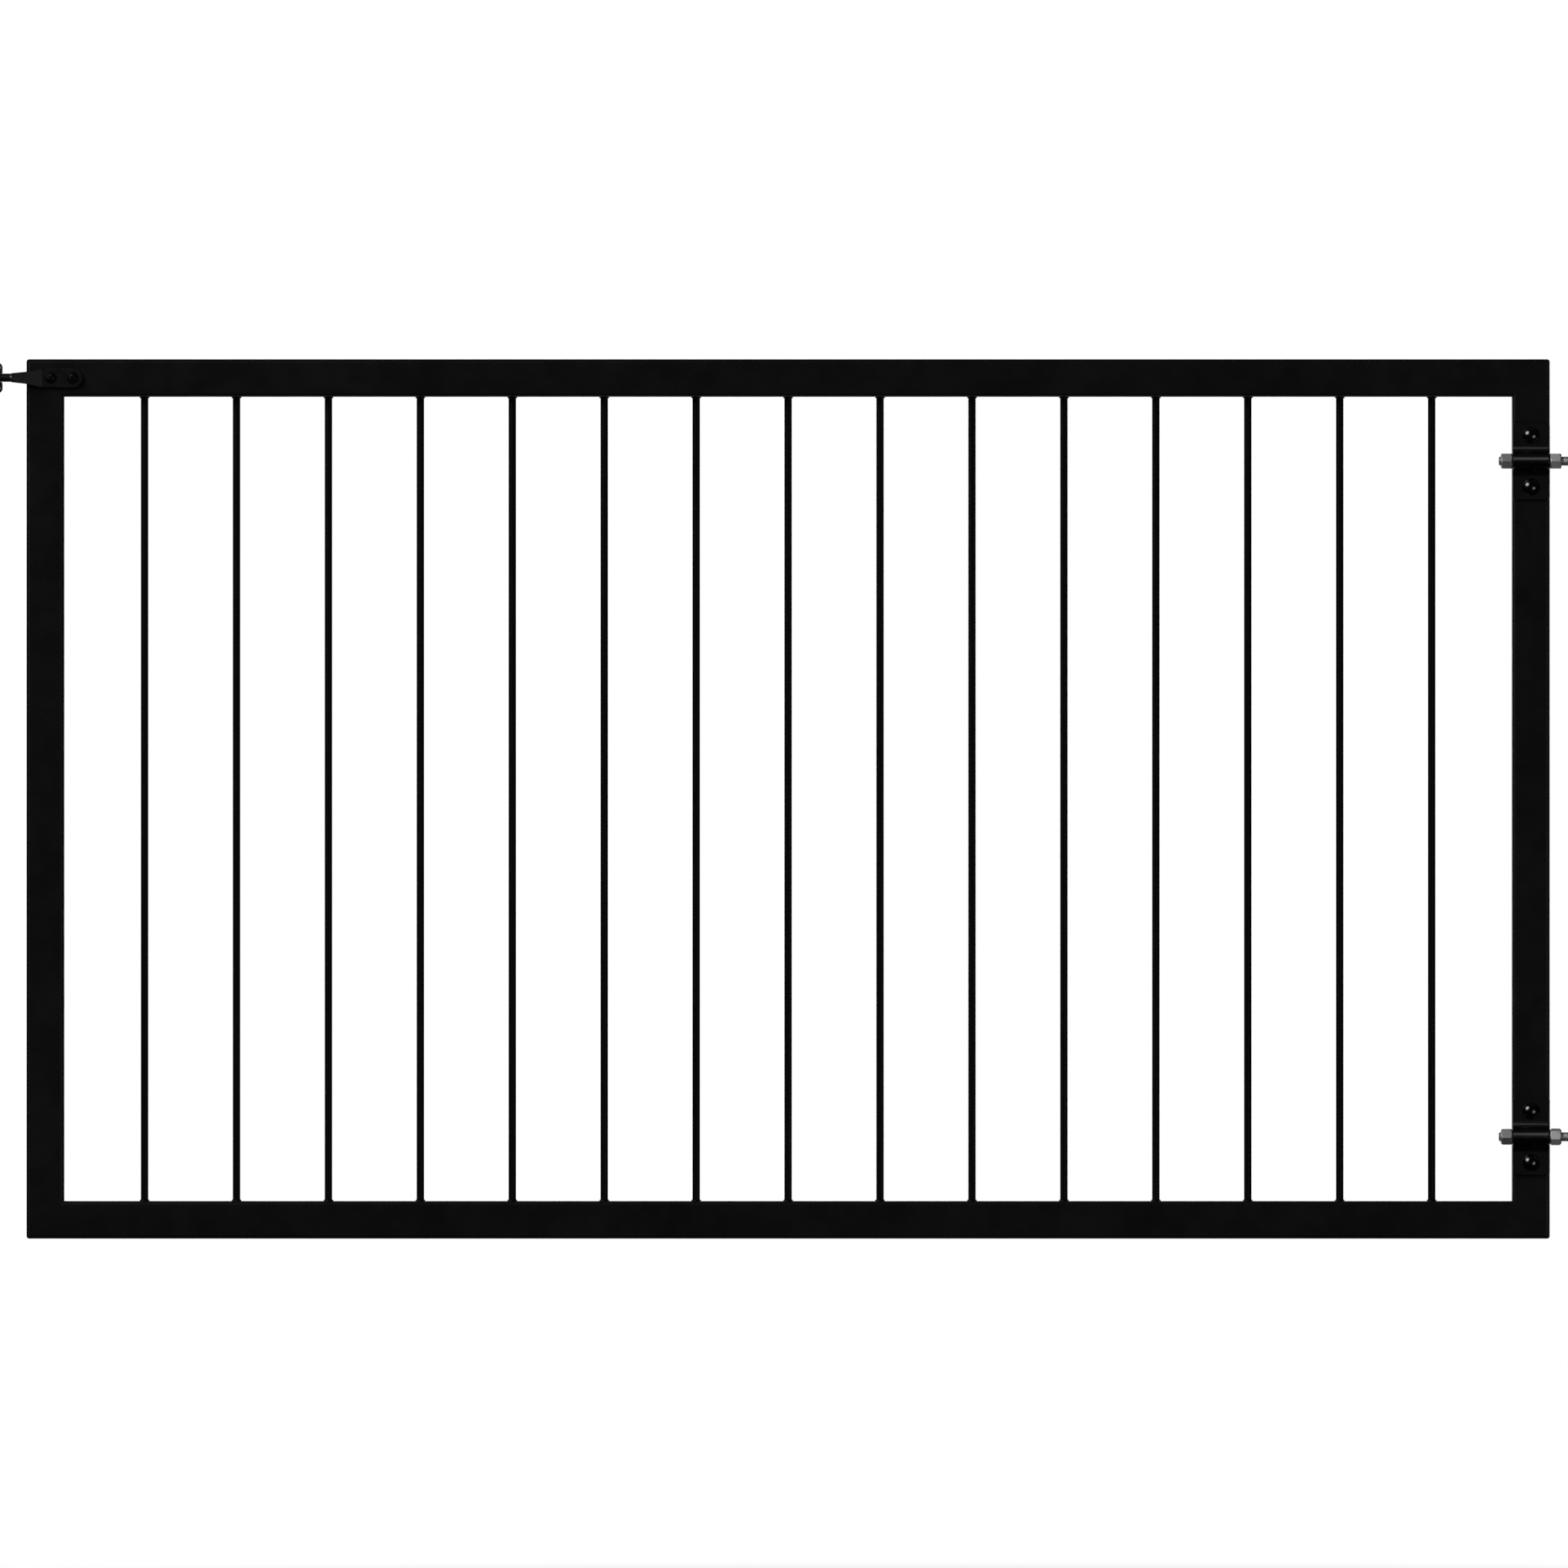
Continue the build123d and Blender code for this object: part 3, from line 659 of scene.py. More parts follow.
def eyeBolt(name, level):
    node = f"{level}_eye_bolt"
    low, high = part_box(node)
    hinge = hinges[level]
    eyeRadius = (high.y - low.y) / 2
    eyeX = high.x - eyeRadius
    rodRadius = eyeLook["rod"] / 2 * mm
    neckRadius = eyeLook["neck"] / 2 * mm
    neckStart = eyeX - eyeRadius - eyeLook["neckRun"] * mm
    pitch = eyeLook["pitch"] * mm
    length = neckStart - low.x
    nose = eyeLook["nose"] * mm
    profile = [(0, rodRadius - nose)]
    for along in evenSteps(0, length - pitch, pitch / threadLook["stepsPerTurn"])[1:]:
        profile.append((along, rodRadius - max(0.0, nose - along)))
    profile.append((length, rodRadius))
    cut = threadCut(rodRadius, pitch, eyeLook["depth"] * mm)

    def threadBend(along, angle, r):
        return cut(along, angle, r) if along < length - pitch / 2 else r

    rodEnd = Vector((low.x, hinge["y"], hinge["z"]))
    count = threadLook["segments"]
    rings = turnedRings(rodEnd, alongX, profile, count, threadBend)
    bury = eyeLook["bury"] * mm
    for k in range(1, eyeLook["neckSteps"] + 1):
        share = k / eyeLook["neckSteps"]
        r = rodRadius + (neckRadius - rodRadius) * share ** eyeLook["flare"]
        ring = []
        for out in ringAround(Vector((0, 0, 0)), alongX, [(angle, r) for angle in turnsOf(count)]):
            end = eyeX - math.sqrt((eyeRadius - bury) ** 2 - out.y ** 2)
            x = neckStart + (end - neckStart) * share
            ring.append(Vector((x, hinge["y"] + out.y, hinge["z"] + out.z)))
        rings.append(ring)
    shape = bmesh.new()
    skin(shape, rings)

    bore = eyeLook["bore"] / 2 * mm
    outline = ringProfile(bore, eyeRadius, 0, high.z - low.z, eyeLook["round"] * mm,
                          eyeLook["boreEdge"] * mm, eyeLook["edgeSteps"])
    lathe(shape, Vector((eyeX, hinge["y"], low.z)), alongZ, outline, eyeLook["segments"], looped=True)
    addPiece(name, shape, threadZinc, "gate_leaf", [node], sharpFrom=40)


eyeBolt("lowerThreadedEye", "lower")
eyeBolt("upperThreadedEye", "upper")
print("eye bolts made")


# hexagon nuts
hexLook = {
    "soft": 0.012,  # share of the corner radius that is taken off each corner
    "cornerTurn": 1.0,  # degrees to either side of a corner
    "chamferSteps": 6, "mouth": 0.6, "boreSteps": 6, "threadShare": 0.5,
}
nutLook = {
    "flats": 16.0, "pitch": 1.5, "depth": 0.7, "bore": 10.1, "perSide": 14, "face": 0.905, "slope": 1.0,
    "turns": {"upperIn": 0.0, "upperOut": 0.0, "lowerIn": -6.0, "lowerOut": 17.0},
}
backNutLook = {
    "flats": 13.0, "pitch": 1.25, "depth": 0.6, "bore": 8.1, "perSide": 12, "face": 0.94, "slope": 1.5,
}


def hexNut(shape, origin, axis, look, height, turnDegrees=0.0):
    apothem = look["flats"] / 2 * mm
    corner = apothem / math.cos(math.radians(30))
    bore = look["bore"] / 2 * mm
    face = look["face"] * apothem
    slope = look["slope"]
    pitch = look["pitch"] * mm
    mouth = hexLook["mouth"] * mm
    angles = set()
    for sideStart in range(0, 360, 60):
        angles.update(sideStart + 60 * k / look["perSide"] for k in range(look["perSide"]))
        angles.update((sideStart + hexLook["cornerTurn"], sideStart + 60 - hexLook["cornerTurn"]))
    angles = sorted(angles)

    def hexRadius(degrees):
        off = (degrees % 60) - 30
        return min(apothem / math.cos(math.radians(off)), corner - hexLook["soft"] * corner)

    def boreRadius(along, degrees):
        phase = (along / pitch - degrees / 360) % 1
        return bore + look["depth"] * mm * hexLook["threadShare"] * abs(phase - 0.5)

    chamferRun = (corner - face) / slope
    rises = evenSteps(0, chamferRun, chamferRun / hexLook["chamferSteps"])
    outside = [(rise, face + rise * slope) for rise in rises]
    outside += [(height - rise, face + rise * slope) for rise in reversed(rises)]
    flanks = [(along, [min(radius, hexRadius(degrees)) for degrees in angles]) for along, radius in outside]
    mouths = [(along, [bore + mouth] * len(angles)) for along in (0.0, height)]
    threads = []
    for along in evenSteps(height - mouth, mouth, pitch / hexLook["boreSteps"]):
        threads.append((along, [boreRadius(along, degrees) for degrees in angles]))
    turns = [math.radians(degrees + turnDegrees) for degrees in angles]
    rings = []
    for along, radii in mouths[:1] + flanks + mouths[1:] + threads:
        rings.append(ringAround(origin + axis * along, axis, zip(turns, radii)))
    skin(shape, rings, looped=True)


stileLow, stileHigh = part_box("hinge_stile")
stileMiddleX = (stileLow.x + stileHigh.x) / 2
nutHeight = stileLow.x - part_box("adjuster_nuts")[0].x
adjusters = bmesh.new()
for level, hinge in hinges.items():
    for seatX, axis, where in ((stileHigh.x, alongX, "Out"), (stileLow.x, -alongX, "In")):
        seat = Vector((seatX, hinge["y"], hinge["z"]))
        turn = 90 + nutLook["turns"][level + where]
        hexNut(adjusters, seat, axis, nutLook, nutHeight, turn)
nutPiece = addPiece("adjusterNuts", adjusters, zincPlate, "gate_leaf", ["adjuster_nuts"],
                    sharpFrom=24)
nutPiece.data.materials.append(shadedZinc)  # the inner nuts get a darker copy of the zinc: painted shade
for face in nutPiece.data.polygons:
    face.material_index = int(face.center.x < stileMiddleX)
print("adjuster nuts made")


# coach bolts through the saddles and the stile
boltLook = {
    "headHeight": 4.6, "shank": 8.0, "pitch": 1.25, "depth": 0.65, "tail": 16.0, "rim": 0.2,
    "domeSteps": 16, "segments": 64, "nose": 0.9,
}
rimLook = {"drop": 0.75, "draw": 0.12, "lip": 0.3}  # shares of a domed head's rim
boltsLow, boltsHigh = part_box("saddle_bolts")
headRadius = (boltsHigh.x - boltsLow.x) / 2
boltHalfPitch = hinges["lower"]["z"] - (boltsLow.z + headRadius)
boltLevels = [hinge["z"] + side * boltHalfPitch for hinge in hinges.values() for side in (-1, 1)]


def domeProfile(look, radius):
    headHeight = look["headHeight"] * mm
    rim = look["rim"] * mm
    cap = (radius ** 2 + headHeight ** 2) / (2 * headHeight)
    swing = math.degrees(math.asin(min(1.0, radius / cap)))
    points = []
    for k in range(look["domeSteps"]):
        angle = math.radians(swing * k / look["domeSteps"])
        points.append((cap * (1 - math.cos(angle)), cap * math.sin(angle)))
    points.append((headHeight - rim * rimLook["drop"], radius - rim * rimLook["draw"]))
    points.append((headHeight - rim * rimLook["lip"], radius))
    points.append((headHeight, radius - rim * rimLook["lip"]))
    return points


def coachBolt(shape, head):
    shank = boltLook["shank"] / 2 * mm
    length = boltsHigh.y - boltsLow.y
    nose = boltLook["nose"] * mm
    pitch = boltLook["pitch"] * mm
    threadFrom = length - boltLook["tail"] * mm
    profile = domeProfile(boltLook, headRadius)
    profile += [(boltLook["headHeight"] * mm, shank), (threadFrom, shank)]
    for along in evenSteps(threadFrom, length, pitch / threadLook["stepsPerTurn"])[1:]:
        profile.append((along, shank - max(0.0, nose - (length - along))))
    cut = threadCut(shank, pitch, boltLook["depth"] * mm)

    def boltBend(along, angle, r):
        return cut(along, angle, r) if along > threadFrom else r

    lathe(shape, head, alongY, profile, boltLook["segments"], boltBend)


coachBolts = bmesh.new()
for boltZ in boltLevels:
    coachBolt(coachBolts, Vector((stileMiddleX, boltsLow.y, boltZ)))
addPiece("coachBolts", coachBolts, boltBlack, "gate_leaf", ["saddle_bolts"], sharpFrom=38)

washerLook = {"bore": 8.4, "edge": 0.35, "boreEdge": 0.15, "edgeSteps": 3, "segments": 56}
washersLow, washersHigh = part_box("saddle_washers")
washerOutline = ringProfile(
    washerLook["bore"] / 2 * mm, (washersHigh.x - washersLow.x) / 2, 0, washersHigh.y - washersLow.y,
    washerLook["edge"] * mm, washerLook["boreEdge"] * mm, washerLook["edgeSteps"],
)
washers = bmesh.new()
for boltZ in boltLevels:
    seat = Vector((stileMiddleX, washersLow.y, boltZ))
    lathe(washers, seat, alongY, washerOutline, washerLook["segments"], looped=True)
addPiece("backWashers", washers, zincPlate, "gate_leaf", ["saddle_washers"], sharpFrom=40)

backNuts = bmesh.new()
nutsLow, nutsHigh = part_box("saddle_nuts")
for boltZ in boltLevels:
    seat = Vector((stileMiddleX, nutsLow.y, boltZ))
    hexNut(backNuts, seat, alongY, backNutLook, nutsHigh.y - nutsLow.y)
addPiece("backNuts", backNuts, zincPlate, "gate_leaf", ["saddle_nuts"], sharpFrom=24)
print("saddle fastenings made")


# forged strike: screwed plate, straight ramp with a tapering width, round bar
strikeLow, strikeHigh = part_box("latch_strike")
strikeLook = {
    "sheet": 5.0, "start": 17.0, "end": 15.5, "waist": 13.0, "neck": 9.8, "bar": 9.0, "standoff": 14.0,
    "edge": 0.7, "nose": 1.5, "relief": 0.1, "shoulder": 0.5, "shoulderRun": 1.3,
    "roundRun": 7.0, "roundPower": 1.5,  # how the round bar turns into the flat ramp
    "endSweep": 88.0,  # degrees of the plate's round end, on either side
    "bendRun": 1.6, "cornerSteps": 6, "rampSteps": 26, "bendSteps": 4, "endSteps": 12, "noseSteps": 4,
}
strikeZ = (strikeLow.z + strikeHigh.z) / 2
strikeHalf = (strikeHigh.z - strikeLow.z) / 2
strikeBarY = leafFront - strikeLook["standoff"] * mm
strikeBarRadius = strikeLook["bar"] / 2 * mm


def strikeSection(x, frontY, backY, half, radius):
    depth = (backY - frontY) / 2
    middle = (backY + frontY) / 2
    loop = roundedBox(depth, half, min(radius, depth, half), strikeLook["cornerSteps"])
    return [Vector((x, middle + u, strikeZ + v)) for u, v in loop]


def barSection(x, r):
    return strikeSection(x, strikeBarY - r, strikeBarY + r, r, r)


def bentLine(x, knots, soft):
    # straight from knot to knot, with each bend eased over soft metres to either side
    for (x0, y0), (x1, y1), (x2, y2) in zip(knots, knots[1:], knots[2:]):
        before = (y1 - y0) / (x1 - x0)
        after = (y2 - y1) / (x2 - x1)
        off = x - x1
        if abs(off) < soft:
            return y1 + (before + after) / 2 * off + (after - before) / (4 * soft) * (off ** 2 + soft ** 2)
    for (x0, y0), (x1, y1) in zip(knots, knots[1:]):
        if x <= x1:
            return y0 + (y1 - y0) * (x - x0) / (x1 - x0)
    return knots[-1][1]


barX = leafLeft - strikeLook["end"] * mm
stepX = barX - strikeLook["shoulderRun"] * mm
neckX = leafLeft + strikeLook["start"] * mm
endMiddle = strikeHigh.x - strikeHalf
plateFront = leafFront - strikeLook["sheet"] * mm
plateBack = leafFront - strikeLook["relief"] * mm
ease = strikeLook["bendRun"] * mm
shoulderY = strikeBarY - strikeBarRadius - strikeLook["shoulder"] * mm
frontLine = [(barX, shoulderY), (neckX, plateFront), (endMiddle, plateFront)]
backLine = [(barX, strikeBarY + strikeBarRadius), (neckX, plateBack), (endMiddle, plateBack)]
halfLine = [(barX, strikeLook["neck"] / 2 * mm), (leafLeft, strikeLook["waist"] / 2 * mm),
            (neckX, strikeHalf), (endMiddle, strikeHalf)]

strikeRings = []
nose = strikeLook["nose"] * mm
for k in range(strikeLook["noseSteps"] + 1):
    turn = math.radians(90 * k / strikeLook["noseSteps"])
    noseRadius = strikeBarRadius - nose * (1 - math.sin(turn))
    strikeRings.append(barSection(strikeLow.x + nose * (1 - math.cos(turn)), noseRadius))
strikeRings.append(barSection(stepX - ease, strikeBarRadius))
strikeRings.append(barSection(stepX, strikeBarRadius))
rampStops = evenSteps(barX, neckX - ease, (neckX - ease - barX) / strikeLook["rampSteps"])
rampStops += evenSteps(neckX - ease, neckX + ease, 2 * ease / strikeLook["bendSteps"])[1:] + [endMiddle]
edge = strikeLook["edge"] * mm
for x in rampStops:
    flat = max(0.0, 1 - (x - barX) / (strikeLook["roundRun"] * mm))  # 1 beside the bar, 0 on the ramp
    half = bentLine(x, halfLine, ease)
    rounding = edge + (half - edge) * flat ** strikeLook["roundPower"]
    frontY = bentLine(x, frontLine, ease)
    backY = bentLine(x, backLine, ease)
    strikeRings.append(strikeSection(x, frontY, backY, half, rounding))
for k in range(1, strikeLook["endSteps"] + 1):
    turn = math.radians(strikeLook["endSweep"] * k / strikeLook["endSteps"])
    x = endMiddle + strikeHalf * math.sin(turn)
    strikeRings.append(strikeSection(x, plateFront, plateBack, strikeHalf * math.cos(turn), edge))
forging = bmesh.new()
skin(forging, strikeRings)
strike = addPiece("forgedStrike", forging, strikeCoat, "gate_leaf", ["latch_strike"],
                  sharpFrom=36)
strike.data.materials.append(shoulderHighlightCoat)  # the shoulder gets a lighter, glossier copy of the coat: a painted highlight
for face in strike.data.polygons:
    face.material_index = int(stepX < face.center.x < barX)

# slotted pan screws
screwLook = {
    "headHeight": 3.6, "rim": 0.8, "shank": 5.5, "tip": 1.0, "segments": 60, "domeSteps": 16,
    "slotWidth": 1.6, "slotDepth": 1.6, "slotTurn": 38.0,
    "slotReach": 1.2,  # the cutter's half length, in head radii
    "slotAbove": 1.0,  # how far it stands over the head
    "sharpFrom": 30,
}
screwsLow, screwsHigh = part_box("strike_screws")
screwRadius = (screwsHigh.z - screwsLow.z) / 2
screwLength = screwsHigh.y - screwsLow.y
screwShank = screwLook["shank"] / 2 * mm
screwTip = screwLook["tip"] * mm
screwProfile = domeProfile(screwLook, screwRadius)
screwProfile += [(screwLook["headHeight"] * mm, screwShank), (screwLength - screwTip, screwShank)]
screwProfile += [(screwLength, screwShank - screwTip), (screwLength, 0)]
slotTurn = math.radians(screwLook["slotTurn"])
slotRun = Vector((math.cos(slotTurn), 0, -math.sin(slotTurn))) * screwRadius * screwLook["slotReach"]
slotSide = Vector((math.sin(slotTurn), 0, math.cos(slotTurn))) * screwLook["slotWidth"] / 2 * mm
panScrews = bmesh.new()
slotShape = bmesh.new()
for screwX in (screwsLow.x + screwRadius, screwsHigh.x - screwRadius):
    head = Vector((screwX, screwsLow.y, (screwsLow.z + screwsHigh.z) / 2))
    lathe(panScrews, head, alongY, screwProfile, screwLook["segments"])
    slotRings = []
    for depth in (-screwLook["slotAbove"], screwLook["slotDepth"]):
        level = head + alongY * depth * mm
        slotRings.append([level + slotRun + slotSide, level - slotRun + slotSide,
                          level - slotRun - slotSide, level + slotRun - slotSide])
    skin(slotShape, slotRings)


def cutSlots(piece, shape):
    bmesh.ops.recalc_face_normals(shape, faces=shape.faces)
    cutterMesh = bpy.data.meshes.new("slotCutter")
    shape.to_mesh(cutterMesh)
    shape.free()
    cutter = bpy.data.objects.new("slotCutter", cutterMesh)
    scene.collection.objects.link(cutter)
    cut = piece.modifiers.new("slot", "BOOLEAN")
    cut.operation = "DIFFERENCE"
    cut.solver = "EXACT"
    cut.object = cutter
    result = bpy.data.meshes.new_from_object(piece.evaluated_get(bpy.context.evaluated_depsgraph_get()))
    piece.modifiers.remove(cut)
    result.set_sharp_from_angle(angle=math.radians(screwLook["sharpFrom"]))
    piece.data = result
    bpy.data.objects.remove(cutter)


screwPiece = addPiece("panScrews", panScrews, screwBlack, "gate_leaf", ["strike_screws"],
                      sharpFrom=screwLook["sharpFrom"])
cutSlots(screwPiece, slotShape)
print("strike made")


# plates with rounded edges and holes, drawn in millimetres
plateSteps = {"corner": 6, "hole": 40, "edge": 4}


def roundPolygon(points, radii):
    loop = []
    steps = plateSteps["corner"]
    for k, point in enumerate(points):
        here = Vector(point)
        back = (Vector(points[k - 1]) - here).normalized()
        ahead = (Vector(points[(k + 1) % len(points)]) - here).normalized()
        radius = radii[k]
        if radius == 0:
            loop.append(here)
            continue
        opening = back.angle(ahead) / 2
        centre = here + (back + ahead).normalized() * radius / math.sin(opening)
        first = here + back * radius / math.tan(opening) - centre
        last = here + ahead * radius / math.tan(opening) - centre
        sweep = math.atan2(first.cross(last), first.dot(last))
        for n in range(steps + 1):
            angle = sweep * n / steps
            loop.append(centre + Vector((
                first.x * math.cos(angle) - first.y * math.sin(angle),
                first.x * math.sin(angle) + first.y * math.cos(angle),
            )))
    return loop


def holeLoop(centre, diameter):
    steps = plateSteps["hole"]
    return arcPoints(centre, diameter / 2, 0, 360 - 360 / steps, steps - 1)


def fourHoles(look):
    spots = [(side * look["holeX"] / 2, rise * look["holeZ"] / 2) for side in (-1, 1) for rise in (-1, 1)]
    return [holeLoop(spot, look["hole"]) for spot in spots]


def counterClockwise(loop):
    area = sum(loop[k - 1].cross(loop[k]) for k in range(len(loop)))
    return loop if area > 0 else loop[::-1]


def insetLoop(loop, amount):
    moved = []
    for k, point in enumerate(loop):
        before = (point - loop[k - 1]).normalized()
        after = (loop[(k + 1) % len(loop)] - point).normalized()
        inward = Vector((-before.y - after.y, before.x + after.x))
        moved.append(point + inward * amount / (1 + before.dot(after)))
    return moved


def roundedPlate(shape, outer, holes, thick, edge, holeEdge, place):
    caps = ([], [])
    steps = plateSteps["edge"]
    quarter = [math.radians(90 * k / steps) for k in range(steps + 1)]
    for loop, soft in [(outer, edge)] + [(hole, -holeEdge) for hole in holes]:
        loop = counterClockwise(loop)
        eased = [(soft * (1 - math.sin(a)), abs(soft) * (1 - math.cos(a))) for a in quarter]
        eased += [(inset, thick - depth) for inset, depth in reversed(eased)]
        rings = []
        for inset, depth in eased:
            points = insetLoop(loop, inset)
            rings.append([shape.verts.new(place(point.x, point.y, depth)) for point in points])
        count = len(loop)
        for near, far in zip(rings, rings[1:]):
            for k in range(count):
                shape.faces.new((near[k], near[k - 1], far[k - 1], far[k]))
        for cap, ring in zip(caps, (rings[0], rings[-1])):
            cap += [shape.edges.get((ring[k], ring[k - 1])) for k in range(count)]
    for cap in caps:
        bmesh.ops.triangle_fill(shape, use_beauty=True, edges=cap)


# post side of the hinges: plate, welded hook, collar under the eye
plateLook = {"corner": 5.0, "edge": 0.8, "holeX": 28.0, "holeZ": 78.0, "hole": 9.0, "holeEdge": 0.4}
hookLook = {
    "bar": 12.0, "bend": 11.0, "nose": 2.0, "segments": 56, "bendSteps": 14, "noseSteps": 6, "sink": 0.4,
    "collar": 20.0, "collarHeight": 3.0, "collarEdge": 0.7, "collarBore": 0.1, "collarSteps": 4,
    "weld": 3.0, "weldSweep": 84.0, "weldSteps": 9, "weldLumps": 0.32, "weldWaves": 3, "firstSeed": 71,
}


def hookPlate(name, node):
    low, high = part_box(node)
    middle = (low + high) / 2
    halfX = (high.x - low.x) / 2 / mm
    halfZ = (high.z - low.z) / 2 / mm
    corners = [(halfX, -halfZ), (halfX, halfZ), (-halfX, halfZ), (-halfX, -halfZ)]
    shape = bmesh.new()
    roundedPlate(
        shape, roundPolygon(corners, [plateLook["corner"]] * 4), fourHoles(plateLook),
        (high.y - low.y) / mm, plateLook["edge"], plateLook["holeEdge"],
        lambda u, v, depth: Vector((middle.x + u * mm, low.y + depth * mm, middle.z + v * mm)),
    )
    addPiece(name, shape, hookCoat, "post_hardware", [node])
    return middle


def hookPin(name, node, middle, pinY, seed):
    low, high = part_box(node)
    radius = hookLook["bar"] / 2 * mm
    bendRadius = hookLook["bend"] * mm
    nose = hookLook["nose"] * mm
    sink = hookLook["sink"] * mm
    stem = Vector((middle.x, high.y, middle.z))
    path = [(stem + alongY * sink, -alongY, radius)]
    turnCentre = Vector((middle.x, pinY + bendRadius, middle.z + bendRadius))
    for k in range(hookLook["bendSteps"] + 1):
        turn = math.radians(90 * k / hookLook["bendSteps"])
        outward = Vector((0, -math.sin(turn), -math.cos(turn)))
        path.append((turnCentre + outward * bendRadius, Vector((0, -math.cos(turn), math.sin(turn))), radius))
    for k in range(hookLook["noseSteps"] + 1):
        turn = math.radians(90 * k / hookLook["noseSteps"])
        top = Vector((middle.x, pinY, high.z - nose * (1 - math.sin(turn))))
        path.append((top, alongZ, radius - nose * (1 - math.cos(turn))))
    rings = []
    for centre, way, r in path:
        other = way.cross(alongX)
        turns = turnsOf(hookLook["segments"])
        rings.append([centre + (alongX * math.cos(a) + other * math.sin(a)) * r for a in turns])
    shape = bmesh.new()
    skin(shape, rings)

    collar = ringProfile(
        radius - sink, hookLook["collar"] / 2 * mm, 0, hookLook["collarHeight"] * mm,
        hookLook["collarEdge"] * mm, hookLook["collarBore"] * mm, hookLook["collarSteps"],
    )
    collarFoot = Vector((middle.x, pinY, middle.z + bendRadius))
    lathe(shape, collarFoot, alongZ, collar, hookLook["segments"], looped=True)

    weld = hookLook["weld"] * mm
    bead = arcOf((0, 0), weld, 0, hookLook["weldSweep"], hookLook["weldSteps"])
    bead = [(along, radius + reach) for reach, along in bead]
    bead = [(-sink, radius - sink), (-sink, radius + weld)] + bead + [(weld, radius - sink)]
    ripple = beadRipple(seed, hookLook["weldLumps"] * mm)

    def lumps(along, angle, r):
        height = ripple(angle * hookLook["weldWaves"]) + ripple(angle)
        return r + height * max(0.0, (r - radius) / weld)

    lathe(shape, stem, -alongY, bead, hookLook["segments"], lumps, looped=True)
    addPiece(name, shape, hookCoat, "post_hardware", [node], sharpFrom=40)


for number, (level, hinge) in enumerate(hinges.items()):
    middle = hookPlate(f"{level}HookPlate", f"{level}_hook_plate")
    hookPin(f"{level}HookPin", f"{level}_hook", middle, hinge["y"], number + hookLook["firstSeed"])
print("hooks made")


# catch on the latch post: lobed plate and two slotted cheeks
catchLow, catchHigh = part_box("latch_catch")
rivetLow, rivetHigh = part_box("latch_pivot")
pivot = (rivetLow + rivetHigh) / 2
catchLook = {
    "sheet": 4.0, "holeX": 36.6, "holeZ": 22.4, "hole": 5.0, "holeEdge": 0.9, "edge": 0.8,
    "ear": 5.2, "earSteps": 8, "scallop": 2.4, "scallopSteps": 10, "core": 27.0, "coreSteps": 12,
    "cheekInside": 4.5, "cheekSheet": 5.0, "cheekEdge": 0.9, "slack": 0.4, "slotSteps": 16,
    "lip": 4.0, "lead": 7.0, "jaw": 3.5, "backFoot": 15.0, "boss": 9.0, "kneeSteps": 6,
    "noseRound": 1.8, "cornerRound": 0.7, "bore": 6.16, "boreEdge": 0.3, "sink": 0.6,
    "rootRound": 2.0, "rootArc": (100, 170), "rootSteps": 8,  # cast fillet beside each cheek
}


def catchOutline(top, foot):
    earX = catchLook["holeX"] / 2 + catchLook["ear"]
    earZ = catchLook["holeZ"] / 2 + catchLook["ear"]
    ear = catchLook["ear"]
    earSteps = catchLook["earSteps"]
    core = catchLook["core"] / 2
    cut = catchLook["holeZ"] / 4
    bite = (cut ** 2 + catchLook["scallop"] ** 2) / (2 * catchLook["scallop"])
    biteX = earX + bite - catchLook["scallop"]
    swing = math.degrees(math.asin(cut / bite))
    meet = math.degrees(math.asin((earZ - (foot - core)) / core))
    right = arcOf((0, core - foot), core, -90, -meet, earSteps)
    right += arcOf((earX - ear, ear - earZ), ear, -90, 0, earSteps)
    right += arcOf((biteX, 0), bite, 180 + swing, 180 - swing, catchLook["scallopSteps"])
    right += arcOf((earX - ear, earZ - ear), ear, 0, 90, earSteps)
    right += [(core, earZ)] + arcOf((0, top - core), core, 0, 90, catchLook["coreSteps"])
    left = [(-x, z) for x, z in reversed(right[1:-1])]
    return [Vector(point) for point in right + left]


def cheekOutline():
    # depth and rise from the middle of the strike's bar line on the post's face
    slot = strikeLook["bar"] / 2 + catchLook["slack"]
    root = -catchLook["sheet"] + catchLook["sink"]
    front = (catchLow.y - catchHigh.y) / mm
    leadEnd = front + catchLook["lead"]
    barDepth = (strikeBarY - catchHigh.y) / mm
    lip = slot + catchLook["lip"]
    boss = catchLook["boss"]
    hub = Vector(((pivot.y - catchHigh.y) / mm, (pivot.z - strikeZ) / mm))
    tip = Vector((front, lip))
    away = hub - tip
    climb = math.atan2(away.y, away.x) + math.asin(boss / away.length)
    small = catchLook["cornerRound"]
    large = catchLook["noseRound"]
    lower = roundPolygon(
        [(root, -catchLook["backFoot"]), (front, -lip - catchLook["jaw"]), (front, -lip), (leadEnd, -slot),
         (barDepth, -slot)],
        [0, large, small, small, 0],
    )
    closed = arcPoints((barDepth, 0), slot, -90, 90, catchLook["slotSteps"])
    upper = roundPolygon(
        [(barDepth, slot), (leadEnd, slot), tip, hub + Vector((0, boss)), (root, hub.y + boss)],
        [0, small, large, 0, 0],
    )
    knee = arcPoints(hub, boss, math.degrees(climb) + 90, 90, catchLook["kneeSteps"])
    return lower + closed[1:-1] + upper[:-2] + knee + upper[-1:], hub


